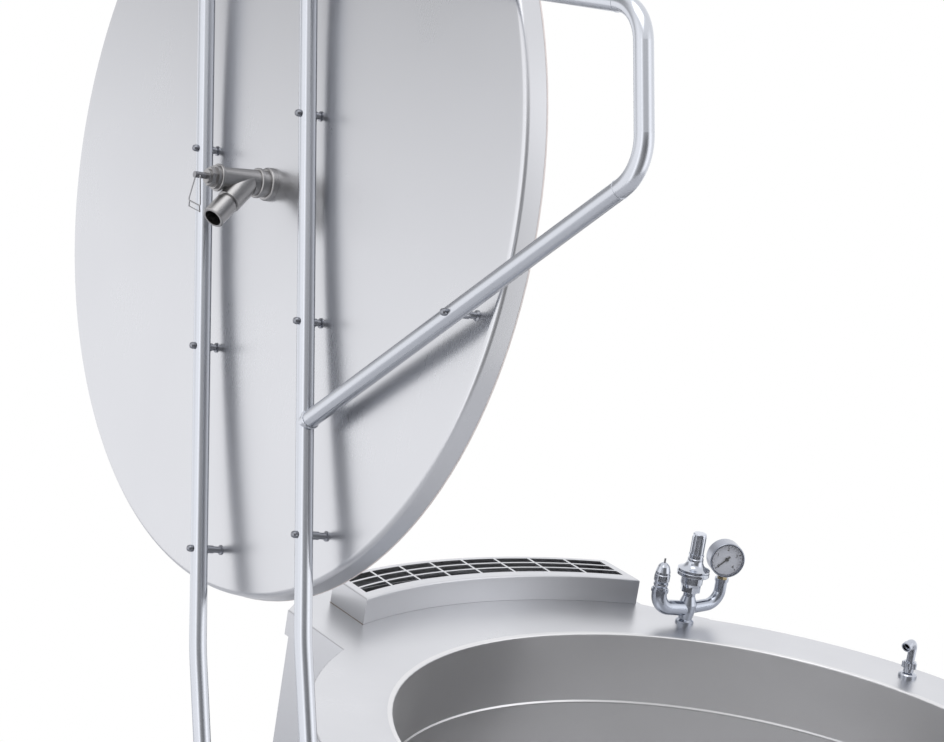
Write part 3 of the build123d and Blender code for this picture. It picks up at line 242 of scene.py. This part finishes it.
disc = bmesh.new()
bmesh.ops.create_circle(disc, cap_ends=True, segments=FLOOR_SEGMENTS, radius=FLOOR_RADIUS)
floor = put("floor", mesh_data("floor", disc))
floor.visible_camera = False

lamp = bpy.data.lights.new("overhead_softbox", "AREA")
lamp.size = LAMP_SIDE
lamp.energy = LAMP_WATTS
softbox = put("overhead_softbox", lamp)
softbox.visible_camera = False
aim = (LAMP_TARGET - LAMP_PLACE).to_track_quat("-Z", "Y")
softbox.matrix_world = Matrix.Translation(LAMP_PLACE) @ aim.to_matrix().to_4x4()
print("lamp:", LAMP_WATTS, "W over a floor of", 2 * FLOOR_RADIUS, "m")

# %% [markdown]
# ## Steel finishes
#
# Nearly everything is stainless steel 1.4301, and what tells the pieces apart is how the
# surface was worked. Sheet is ground along its length, tube is ground lengthwise too, and
# turned fittings are polished. A finish is therefore a metal whose roughness and bump
# follow a stretched noise, plus a broad cloudy change that handling leaves behind. Each
# line of a belt's grit is a few hundredths of a millimetre wide, far too fine to show, so
# the lines are drawn about a millimetre apart.

# %% How a finish is made
LINE_DETAIL = 4.0
LINE_ROUGHNESS = 0.6
LINE_SHARE = 0.5               # how much the lines count beside the clouds
CLOUD_DETAIL = 3.0
CLOUD_MM = 180.0               # width of a handled patch
NOISE_RANGE = (0.45, 1.05)     # where nearly all of lines and clouds together lie
GROOVE_MM = 0.3


def finish(name, colour, roughness, metallic=1.0):
    """Start a material with one Principled shader and give back its tree and shader."""
    material = bpy.data.materials.new(name)
    material.use_nodes = True
    tree = material.node_tree
    tree.nodes.clear()
    shader = add(tree, "ShaderNodeBsdfPrincipled", {
        "Base Color": linear(colour), "Metallic": metallic, "Roughness": roughness})
    add(tree, "ShaderNodeOutputMaterial", Surface=shader.outputs["BSDF"])
    return material, tree, shader


def ground_steel(name, colour, roughness, line_mm, stretch, depth=0.05, swing=0.08):
    """Ground stainless steel. Stretch is how long the grinding lines are along X, Y, Z."""
    material, tree, shader = finish(name, colour, roughness)
    place = add(tree, "ShaderNodeTexCoord")
    scale = [1.0 / (line_mm * MM * s) for s in stretch]
    lay = add(tree, "ShaderNodeMapping", {"Scale": scale}, Vector=place.outputs["Object"])
    lines = add(tree, "ShaderNodeTexNoise", {
        "Scale": 1.0, "Detail": LINE_DETAIL, "Roughness": LINE_ROUGHNESS},
        Vector=lay.outputs["Vector"])
    cloud = add(tree, "ShaderNodeTexNoise", {
        "Scale": 1.0 / (CLOUD_MM * MM), "Detail": CLOUD_DETAIL}, Vector=place.outputs["Object"])
    both = add(tree, "ShaderNodeMath", {"operation": "MULTIPLY_ADD", 1: LINE_SHARE},
               _0=lines.outputs["Fac"], _2=cloud.outputs["Fac"])
    rough = add(tree, "ShaderNodeMapRange", {
        "From Min": NOISE_RANGE[0], "From Max": NOISE_RANGE[1],
        "To Min": roughness - swing, "To Max": roughness + swing}, Value=both.outputs["Value"])
    tree.links.new(rough.outputs["Result"], shader.inputs["Roughness"])
    relief = add(tree, "ShaderNodeBump", {"Strength": depth, "Distance": GROOVE_MM * MM},
                 Height=lines.outputs["Fac"])
    tree.links.new(relief.outputs["Normal"], shader.inputs["Normal"])
    return material


print("at full strength a metal's lines are", GROOVE_MM, "mm deep")

# %% [markdown]
# ## Sheet and tube
#
# Large ground sheets give wide soft reflections, broken a little along the grinding. The
# finishes are kept under the names of the slots that the CAD nodes carry.

# %% Sheet and tube finishes
STEEL = "#C4C5C8"
EVEN = (1, 1, 1)
finishes = {}
# Ground round the wall: a soft, wide sheen that fades into the depth. Its colour is paler than
# steel's own, as painted light that brightens the whole inside of the vessel.
finishes["vessel_steel"] = ground_steel("ground_vessel_steel_painted_bright", "#D4D4D5", 0.38, 1.2, (20, 20, 1))
# Rolled and never ground: dull and slightly warm.
finishes["jacket_steel"] = ground_steel("rolled_jacket_steel", "#B5B3B0", 0.45, 2.0, EVEN)
# Belt ground from side to side: blurred reflections of what stands on it.
finishes["deck_steel"] = ground_steel("ground_deck_sheet", STEEL, 0.34, 1.0, (30, 1, 1))
# Ground upwards, casing and legs alike: a tall soft streak opposite each light.
finishes["casing_steel"] = ground_steel("ground_casing_sheet", STEEL, 0.36, 1.0, (1, 1, 40))
finishes["leg_steel"] = ground_steel("ground_leg_tube", STEEL, 0.34, 1.0, (1, 1, 30))
# Ground along the box: an even grey face under the grille.
finishes["flue_steel"] = ground_steel("ground_flue_sheet", STEEL, 0.36, 1.0, (30, 1, 1))
# The finest ground sheet: clear enough to mirror the arms as soft bands.
finishes["lid_steel"] = ground_steel(
    "ground_lid_sheet", STEEL, 0.29, 1.6, (1, 1, 90), swing=0.03, depth=0.003)
# Drawn and ground tube: a bright line with dark ones beside it.
finishes["tube_steel"] = ground_steel(
    "ground_arm_tube", "#BEC1C7", 0.22, 1.3, (1, 1, 80), swing=0.04, depth=0.03)
# The bridge gets a darker, duller copy of the sheet steel in place of its slot's finish.
darker_bridge_steel = ground_steel("darker_duller_bridge_steel", "#B3B6BC", 0.40, 1.0, (1, 20, 1))
print(len(finishes), "finishes for sheet and tube")

# %% [markdown]
# ## Turned, cast and polished metal
#
# Small pieces show how they were made by the size of their highlights. A polished one
# holds small sharp ones, a cast one that was blasted clean holds broad grey ones.

# %% Fittings
# Turned on a lathe: a small grey light along each spacer.
finishes["fixing_steel"] = ground_steel("turned_spacer_steel", "#9A9CA2", 0.3, 0.8, EVEN)
# Darker steel, lightly polished: bolt heads stand out from the pale tube.
finishes["bolt_steel"] = ground_steel("polished_bolt_steel", "#84868C", 0.3, 0.8, EVEN)
# Ground pins and stems: nearly as dark, with a finer grain.
finishes["stem_steel"] = ground_steel("ground_stem_steel", "#8C8C8F", 0.3, 0.6, EVEN)
# Drawn wire: a thin grey line with one narrow light.
finishes["wire_steel"] = ground_steel("drawn_wire_steel", "#A4A4A6", 0.28, 0.6, EVEN)
# Ground along the shaft: long thin lights.
finishes["hinge_steel"] = ground_steel("ground_barrel_steel", STEEL, 0.30, 1.0, (1, 20, 1))
finishes["shaft_steel"] = ground_steel("ground_shaft_steel", STEEL, 0.18, 0.8, (1, 20, 1))
# Milled across: a plain satin face.
finishes["block_steel"] = ground_steel("milled_block_steel", "#BDBDBB", 0.33, 1.0, (12, 1, 1))
# Cast and blasted: broad soft highlights without lines.
finishes["vent_steel"] = ground_steel("cast_vent_steel", "#9C9B9B", 0.32, 1.0, EVEN, swing=0.05)
finishes["drain_steel"] = ground_steel("cast_drain_steel", "#B8B8B6", 0.28, 1.0, EVEN)
# Turned copper alloys: a little colour, which age has taken down.
finishes["nipple_brass"] = ground_steel("turned_brass", "#A99A78", 0.24, 0.8, EVEN)
finishes["bush_bronze"] = ground_steel("bearing_bronze", "#B0813F", 0.35, 0.8, EVEN)

# Polished after turning: near mirrors, bluish, with a faint unevenness from the wheel.
WHEEL_MM = 3.0
POLISHED = {
    # slot: (name, colour, roughness)
    "manifold_steel": ("polished_manifold", "#A8ADB7", 0.18),
    "relief_steel": ("polished_relief_valve", "#B8BCC4", 0.13),
    "cap_steel": ("polished_valve_cap", "#BEC2CA", 0.12),
    "vacuum_steel": ("polished_vacuum_valve", "#B4B8C0", 0.13),
    "gauge_steel": ("polished_gauge_can", "#9DA1AB", 0.24),
    "spout_steel": ("polished_spout", "#B4B8C0", 0.14),
}
for slot, (name, colour, roughness) in POLISHED.items():
    finishes[slot] = ground_steel(name, colour, roughness, WHEEL_MM, EVEN, swing=0.04, depth=0.02)
print(len(finishes), "metal finishes")

# %% [markdown]
# ## The few things that aren't steel
#
# Silicone, moulded plastic, enamel, sealant and glass wool are not metals to the eye: they
# have a colour of their own and only a thin reflection on top. Scaled iron is nearly so.

# %% Other finishes
GRAIN_DETAIL = 3.0
GRAIN_DEPTH_MM = 0.4


def dull(name, colour, roughness, grain_mm, depth, metallic=0.0):
    """A finish with a colour of its own and a fine even grain."""
    material, tree, shader = finish(name, colour, roughness, metallic)
    place = add(tree, "ShaderNodeTexCoord")
    grain = add(tree, "ShaderNodeTexNoise", {
        "Scale": 1.0 / (grain_mm * MM), "Detail": GRAIN_DETAIL}, Vector=place.outputs["Object"])
    relief = add(tree, "ShaderNodeBump", {"Strength": depth, "Distance": GRAIN_DEPTH_MM * MM},
                 Height=grain.outputs["Fac"])
    tree.links.new(relief.outputs["Normal"], shader.inputs["Normal"])
    return material


# Moulded silicone: a pale rosy line round the lid.
finishes["gasket_silicone"] = dull("moulded_silicone", "#D3CBC8", 0.5, 2.0, 0.1)
# Moulded plastic: black with a grey sheen.
finishes["grip_black"] = dull("moulded_grip_plastic", "#1C1C1D", 0.45, 0.8, 0.25)
finishes["knob_black"] = dull("moulded_knob_plastic", "#1C1C1D", 0.40, 0.8, 0.2)
# Enamel: even, and on the dial a cool grey white behind its glass.
finishes["dial_white"] = dull("white_enamel", "#C8CBD4", 0.45, 3.0, 0.02)
finishes["needle_black"] = dull("black_enamel", "#141414", 0.4, 3.0, 0.02)
# Sealant: a matt grey brown line.
finishes["sealant_brown"] = dull("heat_proof_sealant", "#6F6862", 0.6, 1.5, 0.3)
# Glass wool: yellowish and woolly.
finishes["blanket"] = dull("glass_wool_blanket", "#D9D2B8", 0.9, 6.0, 0.8)
# Cast iron with scale: nearly black and rough.
finishes["burner_iron"] = dull("scaled_cast_iron", "#2C2826", 0.7, 3.0, 0.6, 0.6)
print(len(finishes), "finishes")

# %% [markdown]
# ## Glass and floor paint
#
# The gauge's window is so thin that it bends nothing. Glass with real refraction would be
# truer, but it darkens a dial behind it when samples are few. So the window is a smooth
# surface that is nearly transparent, of which only a trace of shine is left. The floor is
# plain matt paint, which gives the steel a soft grey to show.

# %% Window and floor
WINDOW_SHARE = 0.06            # how much of the surface's own look is left
finishes["gauge_glass"], _, window = finish("gauge_window_glass", "#FFFFFF", 0.03, 0.0)
window.inputs["Alpha"].default_value = WINDOW_SHARE

floor_paint, _, _ = finish("pale_floor_paint", "#D2D3D6", 0.9, 0.0)
floor.data.materials.append(floor_paint)
print("window keeps", WINDOW_SHARE, "of its own look")

# %% [markdown]
# ## Handing out the finishes
#
# The record names a finish slot for every CAD node, so one loop can hand them all out.
# One could also pick each piece and assign by hand, but then a renamed piece is missed.

# %% Give every CAD node its finish
slot_of = {part["node"]: part["material_slot"] for part in frame["record"]["subparts"]}
for node, piece in frame["nodes"].items():
    chosen = darker_bridge_steel if node == "column_bridge" else finishes[slot_of[node]]
    if piece.material_slots:
        for holder in piece.material_slots:
            holder.material = chosen
    else:
        piece.data.materials.append(chosen)
print("finished", len(frame["nodes"]), "nodes")

# %% [markdown]
# ## The lid's sheet
#
# The lid is one spun sheet: a very flat crown, a small round edge and a short skirt. Its
# reflections are so wide and soft that a single long triangle shows as a wedge of another
# tone, and the hole for the vent leaves such triangles in the CAD mesh. So the same section
# is spun here in fine even rings, and the hole is cut afterwards, under the vent's flange.
# A subdivided disc would also be smooth, but the spin keeps the round edge exact.

# %% Helpers for new pieces
SHARP_DEGREES = 35.0           # edges bent more than this stay sharp
MERGE = 0.001                  # points closer than this, in millimetres, become one


def keep(name, mesh, finish_name, body):
    """Turn a bmesh into a piece that rides on a body and takes the finish of a slot."""
    bmesh.ops.recalc_face_normals(mesh, faces=mesh.faces)
    data = mesh_data(name, mesh)
    data.shade_smooth()
    data.set_sharp_from_angle(angle=math.radians(SHARP_DEGREES))
    data.materials.append(finishes[finish_name])
    piece = put(name, data)
    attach(piece, body)
    return piece


def spun(outline, steps):
    """Spin an outline of (radius, height) points in millimetres once round the Z axis."""
    mesh = bmesh.new()
    corners = [mesh.verts.new((r * MM, 0, z * MM)) for r, z in outline]
    edges = [mesh.edges.new(pair) for pair in zip(corners, corners[1:])]
    bmesh.ops.spin(mesh, geom=corners + edges, cent=(0, 0, 0), axis=(0, 0, 1),
                   angle=2 * math.pi, steps=steps, use_merge=True)
    bmesh.ops.remove_doubles(mesh, verts=mesh.verts, dist=MERGE * MM)
    return mesh


def arc(centre, radius, start, end, count):
    """Points on an arc, with angles in degrees."""
    angles = [math.radians(start + (end - start) * i / count) for i in range(count + 1)]
    return [(centre[0] + radius * math.cos(a), centre[1] + radius * math.sin(a)) for a in angles]


print("helpers: keep, spun, arc")

# %% Where the open lid stands
HINGE_PLACE = Vector((-0.888, 0.0, 0.834))
LID_OPEN = 84.5                # degrees
RIM_HEIGHT = 902.3             # the lid's rim plane when it is down, in millimetres
open_lid = (Matrix.Translation(HINGE_PLACE) @ Matrix.Rotation(math.radians(-LID_OPEN), 4, "Y")
            @ Matrix.Translation(-HINGE_PLACE) @ Matrix.Translation((0, 0, RIM_HEIGHT * MM)))
print("middle of the open rim:", [round(v, 3) for v in open_lid.to_translation()])

# %% The lid's section
LID_RIM = 505.5                # radius at the foot of the skirt
LID_FACE = 503.0               # radius where the skirt meets the crown
SKIRT = 25.0
CROWN = 16.0
SHEET_THICK = 2.5
ROUND = 7.0
ROUND_STEPS = 10
RINGS = 36
crown_radius = (LID_FACE ** 2 + CROWN ** 2) / (2 * CROWN)


def crown_row(reach, depth):
    """The crown from the middle out, at a depth below the outer face."""
    radii = [reach * i / RINGS for i in range(RINGS + 1)]
    foot = SKIRT + CROWN - crown_radius - depth
    return [(r, foot + math.sqrt(crown_radius ** 2 - r * r)) for r in radii]


outer = crown_row(LID_FACE - ROUND, 0)
inner = crown_row(LID_FACE - SHEET_THICK, SHEET_THICK)
slope = math.asin((LID_FACE - ROUND) / crown_radius)
lean = math.atan2(LID_RIM - LID_FACE, SKIRT)
round_centre = (outer[-1][0] - ROUND * math.sin(slope), outer[-1][1] - ROUND * math.cos(slope))
edge = arc(round_centre, ROUND, 90 - math.degrees(slope), math.degrees(lean), ROUND_STEPS)
lid_outline = outer + edge[1:] + [(LID_RIM, 0), (LID_RIM - SHEET_THICK, 0)] + inner[::-1]
print("points in the section:", len(lid_outline))

# %% Spin the lid and drill it for the vent
AROUND = 256
VENT_PLACE = (-6.6, -20.3)
VENT_HOLE = 10.0               # radius
HOLE_SEGMENTS = 64

sheet = spun(lid_outline, AROUND)
bmesh.ops.transform(sheet, matrix=open_lid, verts=sheet.verts)
lid_sheet = keep("lid_sheet", sheet, "lid_steel", "lid")

drill = bmesh.new()
drill_place = open_lid @ Matrix.Translation((VENT_PLACE[0] * MM, VENT_PLACE[1] * MM, SKIRT * MM))
bmesh.ops.create_cone(drill, cap_ends=True, segments=HOLE_SEGMENTS, radius1=VENT_HOLE * MM,
                      radius2=VENT_HOLE * MM, depth=4 * CROWN * MM, matrix=drill_place)
drill_mesh = mesh_data("drill", drill)
drill_piece = put("drill", drill_mesh)
hole = lid_sheet.modifiers.new("hole", "BOOLEAN")
hole.object = drill_piece
hole.solver = "EXACT"
bpy.context.view_layer.update()
drilled = lid_sheet.evaluated_get(bpy.context.evaluated_depsgraph_get())
cut_mesh = bpy.data.meshes.new_from_object(drilled)
lid_sheet.modifiers.clear()
lid_sheet.data = cut_mesh
bpy.data.objects.remove(drill_piece)
bpy.data.meshes.remove(drill_mesh)
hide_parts("lid_shell")
print("lid:", len(cut_mesh.polygons), "faces")

# %% [markdown]
# ## Welds on the handle
#
# A tube that meets a tube is welded all round, and the bead is left as a low ripple. The
# handle is made of bent pieces butted together, and each joint shows as a fine ring. Both
# are a small circle spun about the tube. One could also sweep a bead along the true line
# where the two tubes meet, but at this size a plain ring does.

# %% Places on the lid
ARM_TURN = math.radians(23.2)  # the arms cross the lid at this angle
ARM_ASIDE = -8.1               # and lie this far off its middle
ARM_SPREAD = 232.3             # between the arms' centre lines
ARM_HEIGHT = 58.0              # above the rim plane
HANDLE_OUT = -732.5            # the handle's outer run
HANDLE_LEGS = {
    # leg: (where it meets the arm, where it bends), both along the arms
    "low": (-312.0, -124.0),
    "top": (239.0, 44.0),
}


def on_lid(along, across):
    """A place in the plane of the tubes, brought from the closed lid to the open one."""
    across += ARM_ASIDE
    flat = Vector((along * math.cos(ARM_TURN) - across * math.sin(ARM_TURN),
                   along * math.sin(ARM_TURN) + across * math.cos(ARM_TURN), ARM_HEIGHT))
    return open_lid @ (flat * MM)


print("legs of the handle:", ", ".join(HANDLE_LEGS))

# %% Weld beads and butt seams
TUBE = 10.5                    # radius of the tube
BEAD = 1.5                     # radius of the bead
BEAD_WAVES = 22
BEAD_SWING = 0.25
BEAD_OUT = 1.05                # from the arm's centre line, in tube radii
SEAM = 0.45
SEAM_BEFORE_CORNER = 41.0
BEAD_SEGMENTS = 10
RING_STEPS = 60


def ring_bead(mesh, centre, direction, thickness, waves=0, swing=0.0):
    """Add a ring of round section about the tube, with a ripple if asked for."""
    ring = bmesh.new()
    stand = Matrix.Translation((TUBE * MM, 0, 0)) @ Matrix.Rotation(math.pi / 2, 4, "X")
    bmesh.ops.create_circle(ring, segments=BEAD_SEGMENTS, radius=thickness * MM, matrix=stand)
    bmesh.ops.spin(ring, geom=ring.verts[:] + ring.edges[:], cent=(0, 0, 0), axis=(0, 0, 1),
                   angle=2 * math.pi, steps=RING_STEPS, use_merge=True)
    for vertex in ring.verts:
        vertex.co.z += swing * MM * math.sin(waves * math.atan2(vertex.co.y, vertex.co.x))
    place = Matrix.Translation(centre) @ direction.to_track_quat("Z", "Y").to_matrix().to_4x4()
    bmesh.ops.transform(ring, matrix=place, verts=ring.verts)
    data = mesh_data("ring", ring)
    mesh.from_mesh(data)
    bpy.data.meshes.remove(data)


beads = bmesh.new()
seams = bmesh.new()
for meets, bends in HANDLE_LEGS.values():
    root = on_lid(meets, -ARM_SPREAD / 2)
    corner = on_lid(bends, HANDLE_OUT)
    leg = (corner - root).normalized()
    ring_bead(beads, root + leg * TUBE * BEAD_OUT * MM, leg, BEAD, BEAD_WAVES, BEAD_SWING)
    ring_bead(seams, corner - leg * SEAM_BEFORE_CORNER * MM, leg, SEAM)
keep("handle_weld_beads", beads, "tube_steel", "lid")
keep("handle_butt_seams", seams, "tube_steel", "lid")
print("rings on the handle:", 2 * len(HANDLE_LEGS))

# %% [markdown]
# ## The bail's finger loop
#
# The vent's wire bail carries a second, smaller loop to hook a finger in. It is bent from
# the same wire, so it is a closed curve with a round bevel, made into a mesh at once. It
# takes its place from the bail's own box, and moves with it.

# %% Bend the finger loop
WIRE = 0.9                     # radius
WIRE_BEVEL = 3
LOOP_INSET = 3.0
LOOP_SPREAD = 1.5
LOOP_DROP = 7.0
LOOP_BACK = 1.0


def wire_loop(corners, radius):
    """Round wire along a closed run of corners."""
    curve = bpy.data.curves.new("wire", "CURVE")
    curve.dimensions = "3D"
    curve.bevel_depth = radius
    curve.bevel_resolution = WIRE_BEVEL
    spline = curve.splines.new("POLY")
    spline.points.add(len(corners) - 1)
    for point, corner in zip(spline.points, corners):
        point.co = (*corner, 1.0)
    spline.use_cyclic_u = True
    holder = bpy.data.objects.new("wire", curve)
    data = bpy.data.meshes.new_from_object(holder)
    bpy.data.objects.remove(holder)
    mesh = bmesh.new()
    mesh.from_mesh(data)
    bpy.data.meshes.remove(data)
    return mesh


bail_low, bail_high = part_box("vent_bail")
depth = (bail_low[0] + bail_high[0]) / 2
top = bail_low[2] + WIRE * MM
foot = top - LOOP_DROP * MM
inset = LOOP_INSET * MM
spread = (LOOP_INSET - LOOP_SPREAD) * MM
loop = wire_loop([
    (depth, bail_low[1] + inset, top),
    (depth + LOOP_BACK * MM, bail_low[1] + spread, foot),
    (depth + LOOP_BACK * MM, bail_high[1] - spread, foot),
    (depth, bail_high[1] - inset, top)], WIRE * MM)
keep("bail_finger_loop", loop, "wire_steel", "bail")
print("bail is", [round((v - w) / MM, 1) for v, w in zip(bail_high, bail_low)], "mm")

# %% [markdown]
# ## The gauge's print
#
# The dial is printed: a scale from 0 to 4 over three quarters of a turn, with four fine
# marks between numbers. An image texture on the dial would do, but it blurs close up. So
# the print is thin raised shapes, a few hundredths of a millimetre in life and a little
# more here. Their plane is read from the dial's own front face.

# %% The plane of the dial
GAUGE_CENTRE = Vector((0.34898, 0.50931, 1.0068))
GAUGE_TURN = math.radians(22)
FACES_FORWARD = 0.9            # cosine above which a face belongs to the dial's front
gauge_look = Vector((-math.sin(GAUGE_TURN), -math.cos(GAUGE_TURN), 0))
dial = frame["nodes"]["gauge_dial"]


def dial_height(face, direction):
    """How far a face of the dial lies ahead of the gauge's centre."""
    return (dial.matrix_world @ face.center - GAUGE_CENTRE).dot(direction)


front = max((face for face in dial.data.polygons if face.normal.dot(gauge_look) > FACES_FORWARD),
            key=lambda face: dial_height(face, gauge_look))
dial_look = front.normal.normalized()
dial_top = dial_height(front, dial_look) / MM
dial_right = Vector((0, 0, 1)).cross(dial_look).normalized()
dial_up = dial_look.cross(dial_right)
dial_place = (Matrix.Translation(GAUGE_CENTRE)
              @ Matrix((dial_right, dial_up, dial_look)).transposed().to_4x4())
print("dial looks along", tuple(round(v, 3) for v in dial_look), "at", round(dial_top, 2), "mm")

# %% Print the dial
PRINT_THICK = 0.12
SCALE_START = 225.0            # degrees from the right, where 0 stands
SCALE_SWEEP = 270.0            # clockwise from there
SCALE_EDGE = 24.6              # radius of the marks' outer ends
NUMBERS = 5
MARKS_BETWEEN = 5
STRONG_MARK = (4.0, 1.1)       # length and width
FINE_MARK = (2.4, 0.6)
NUMBER_HEIGHT = 7.6
NUMBER_BOLDER = 0.12
NUMBER_RADIUS = 17.0
print_middle = (dial_top + PRINT_THICK / 2) * MM


def scale_angle(share):
    """Where a share of the scale lies on the dial."""
    return math.radians(SCALE_START - SCALE_SWEEP * share)


def number_mesh(number):
    """One number as a mesh, flat on its back."""
    letters = bpy.data.curves.new("number", "FONT")
    letters.body = str(number)
    letters.size = NUMBER_HEIGHT * MM
    letters.offset = NUMBER_BOLDER * MM
    letters.align_x = "CENTER"
    letters.align_y = "CENTER"
    letters.extrude = PRINT_THICK / 2 * MM
    holder = bpy.data.objects.new("number", letters)
    data = bpy.data.meshes.new_from_object(holder)
    bpy.data.objects.remove(holder)
    return data


ink = bmesh.new()
marks = (NUMBERS - 1) * MARKS_BETWEEN
for i in range(marks + 1):
    length, width = STRONG_MARK if i % MARKS_BETWEEN == 0 else FINE_MARK
    turned = Matrix.Rotation(scale_angle(i / marks), 4, "Z")
    seat = Matrix.Translation(((SCALE_EDGE - length / 2) * MM, 0, print_middle))
    size = Matrix.Diagonal((length * MM, width * MM, PRINT_THICK * MM, 1))
    bmesh.ops.create_cube(ink, size=1.0, matrix=dial_place @ turned @ seat @ size)
for number in range(NUMBERS):
    angle = scale_angle(number / (NUMBERS - 1))
    reach = NUMBER_RADIUS * MM
    spot = Matrix.Translation((reach * math.cos(angle), reach * math.sin(angle), print_middle))
    data = number_mesh(number)
    data.transform(dial_place @ spot)
    ink.from_mesh(data)
    bpy.data.meshes.remove(data)
keep("gauge_print", ink, "needle_black", "kettle")
print("marks:", marks + 1, "and", NUMBERS, "numbers")

# %% [markdown]
# ## The sealant at the flue box
#
# Where the left end of the flue box stands on the deck, a thin bead of heat-proof sealant
# has been run along it. A sphere pulled apart at its middle gives a bead with round ends,
# which is simpler than a cylinder with two caps.

# %% Run the bead
SEALANT_X = -279.4             # just outside the box's left end
SEALANT_FROM = 587.0
SEALANT_TO = 686.0
SEALANT_R = 0.9
DECK_TOP = 900.0
SEALANT_SEGMENTS = (16, 8)

bead = bmesh.new()
bmesh.ops.create_uvsphere(bead, u_segments=SEALANT_SEGMENTS[0], v_segments=SEALANT_SEGMENTS[1],
                          radius=SEALANT_R * MM)
far_half = [v for v in bead.verts if v.co.y > 0]
bmesh.ops.translate(bead, verts=far_half, vec=(0, (SEALANT_TO - SEALANT_FROM) * MM, 0))
bmesh.ops.translate(bead, verts=bead.verts,
                    vec=(SEALANT_X * MM, SEALANT_FROM * MM, DECK_TOP * MM))
keep("flue_sealant", bead, "sealant_brown", "kettle")
print("sealant:", SEALANT_TO - SEALANT_FROM, "mm")
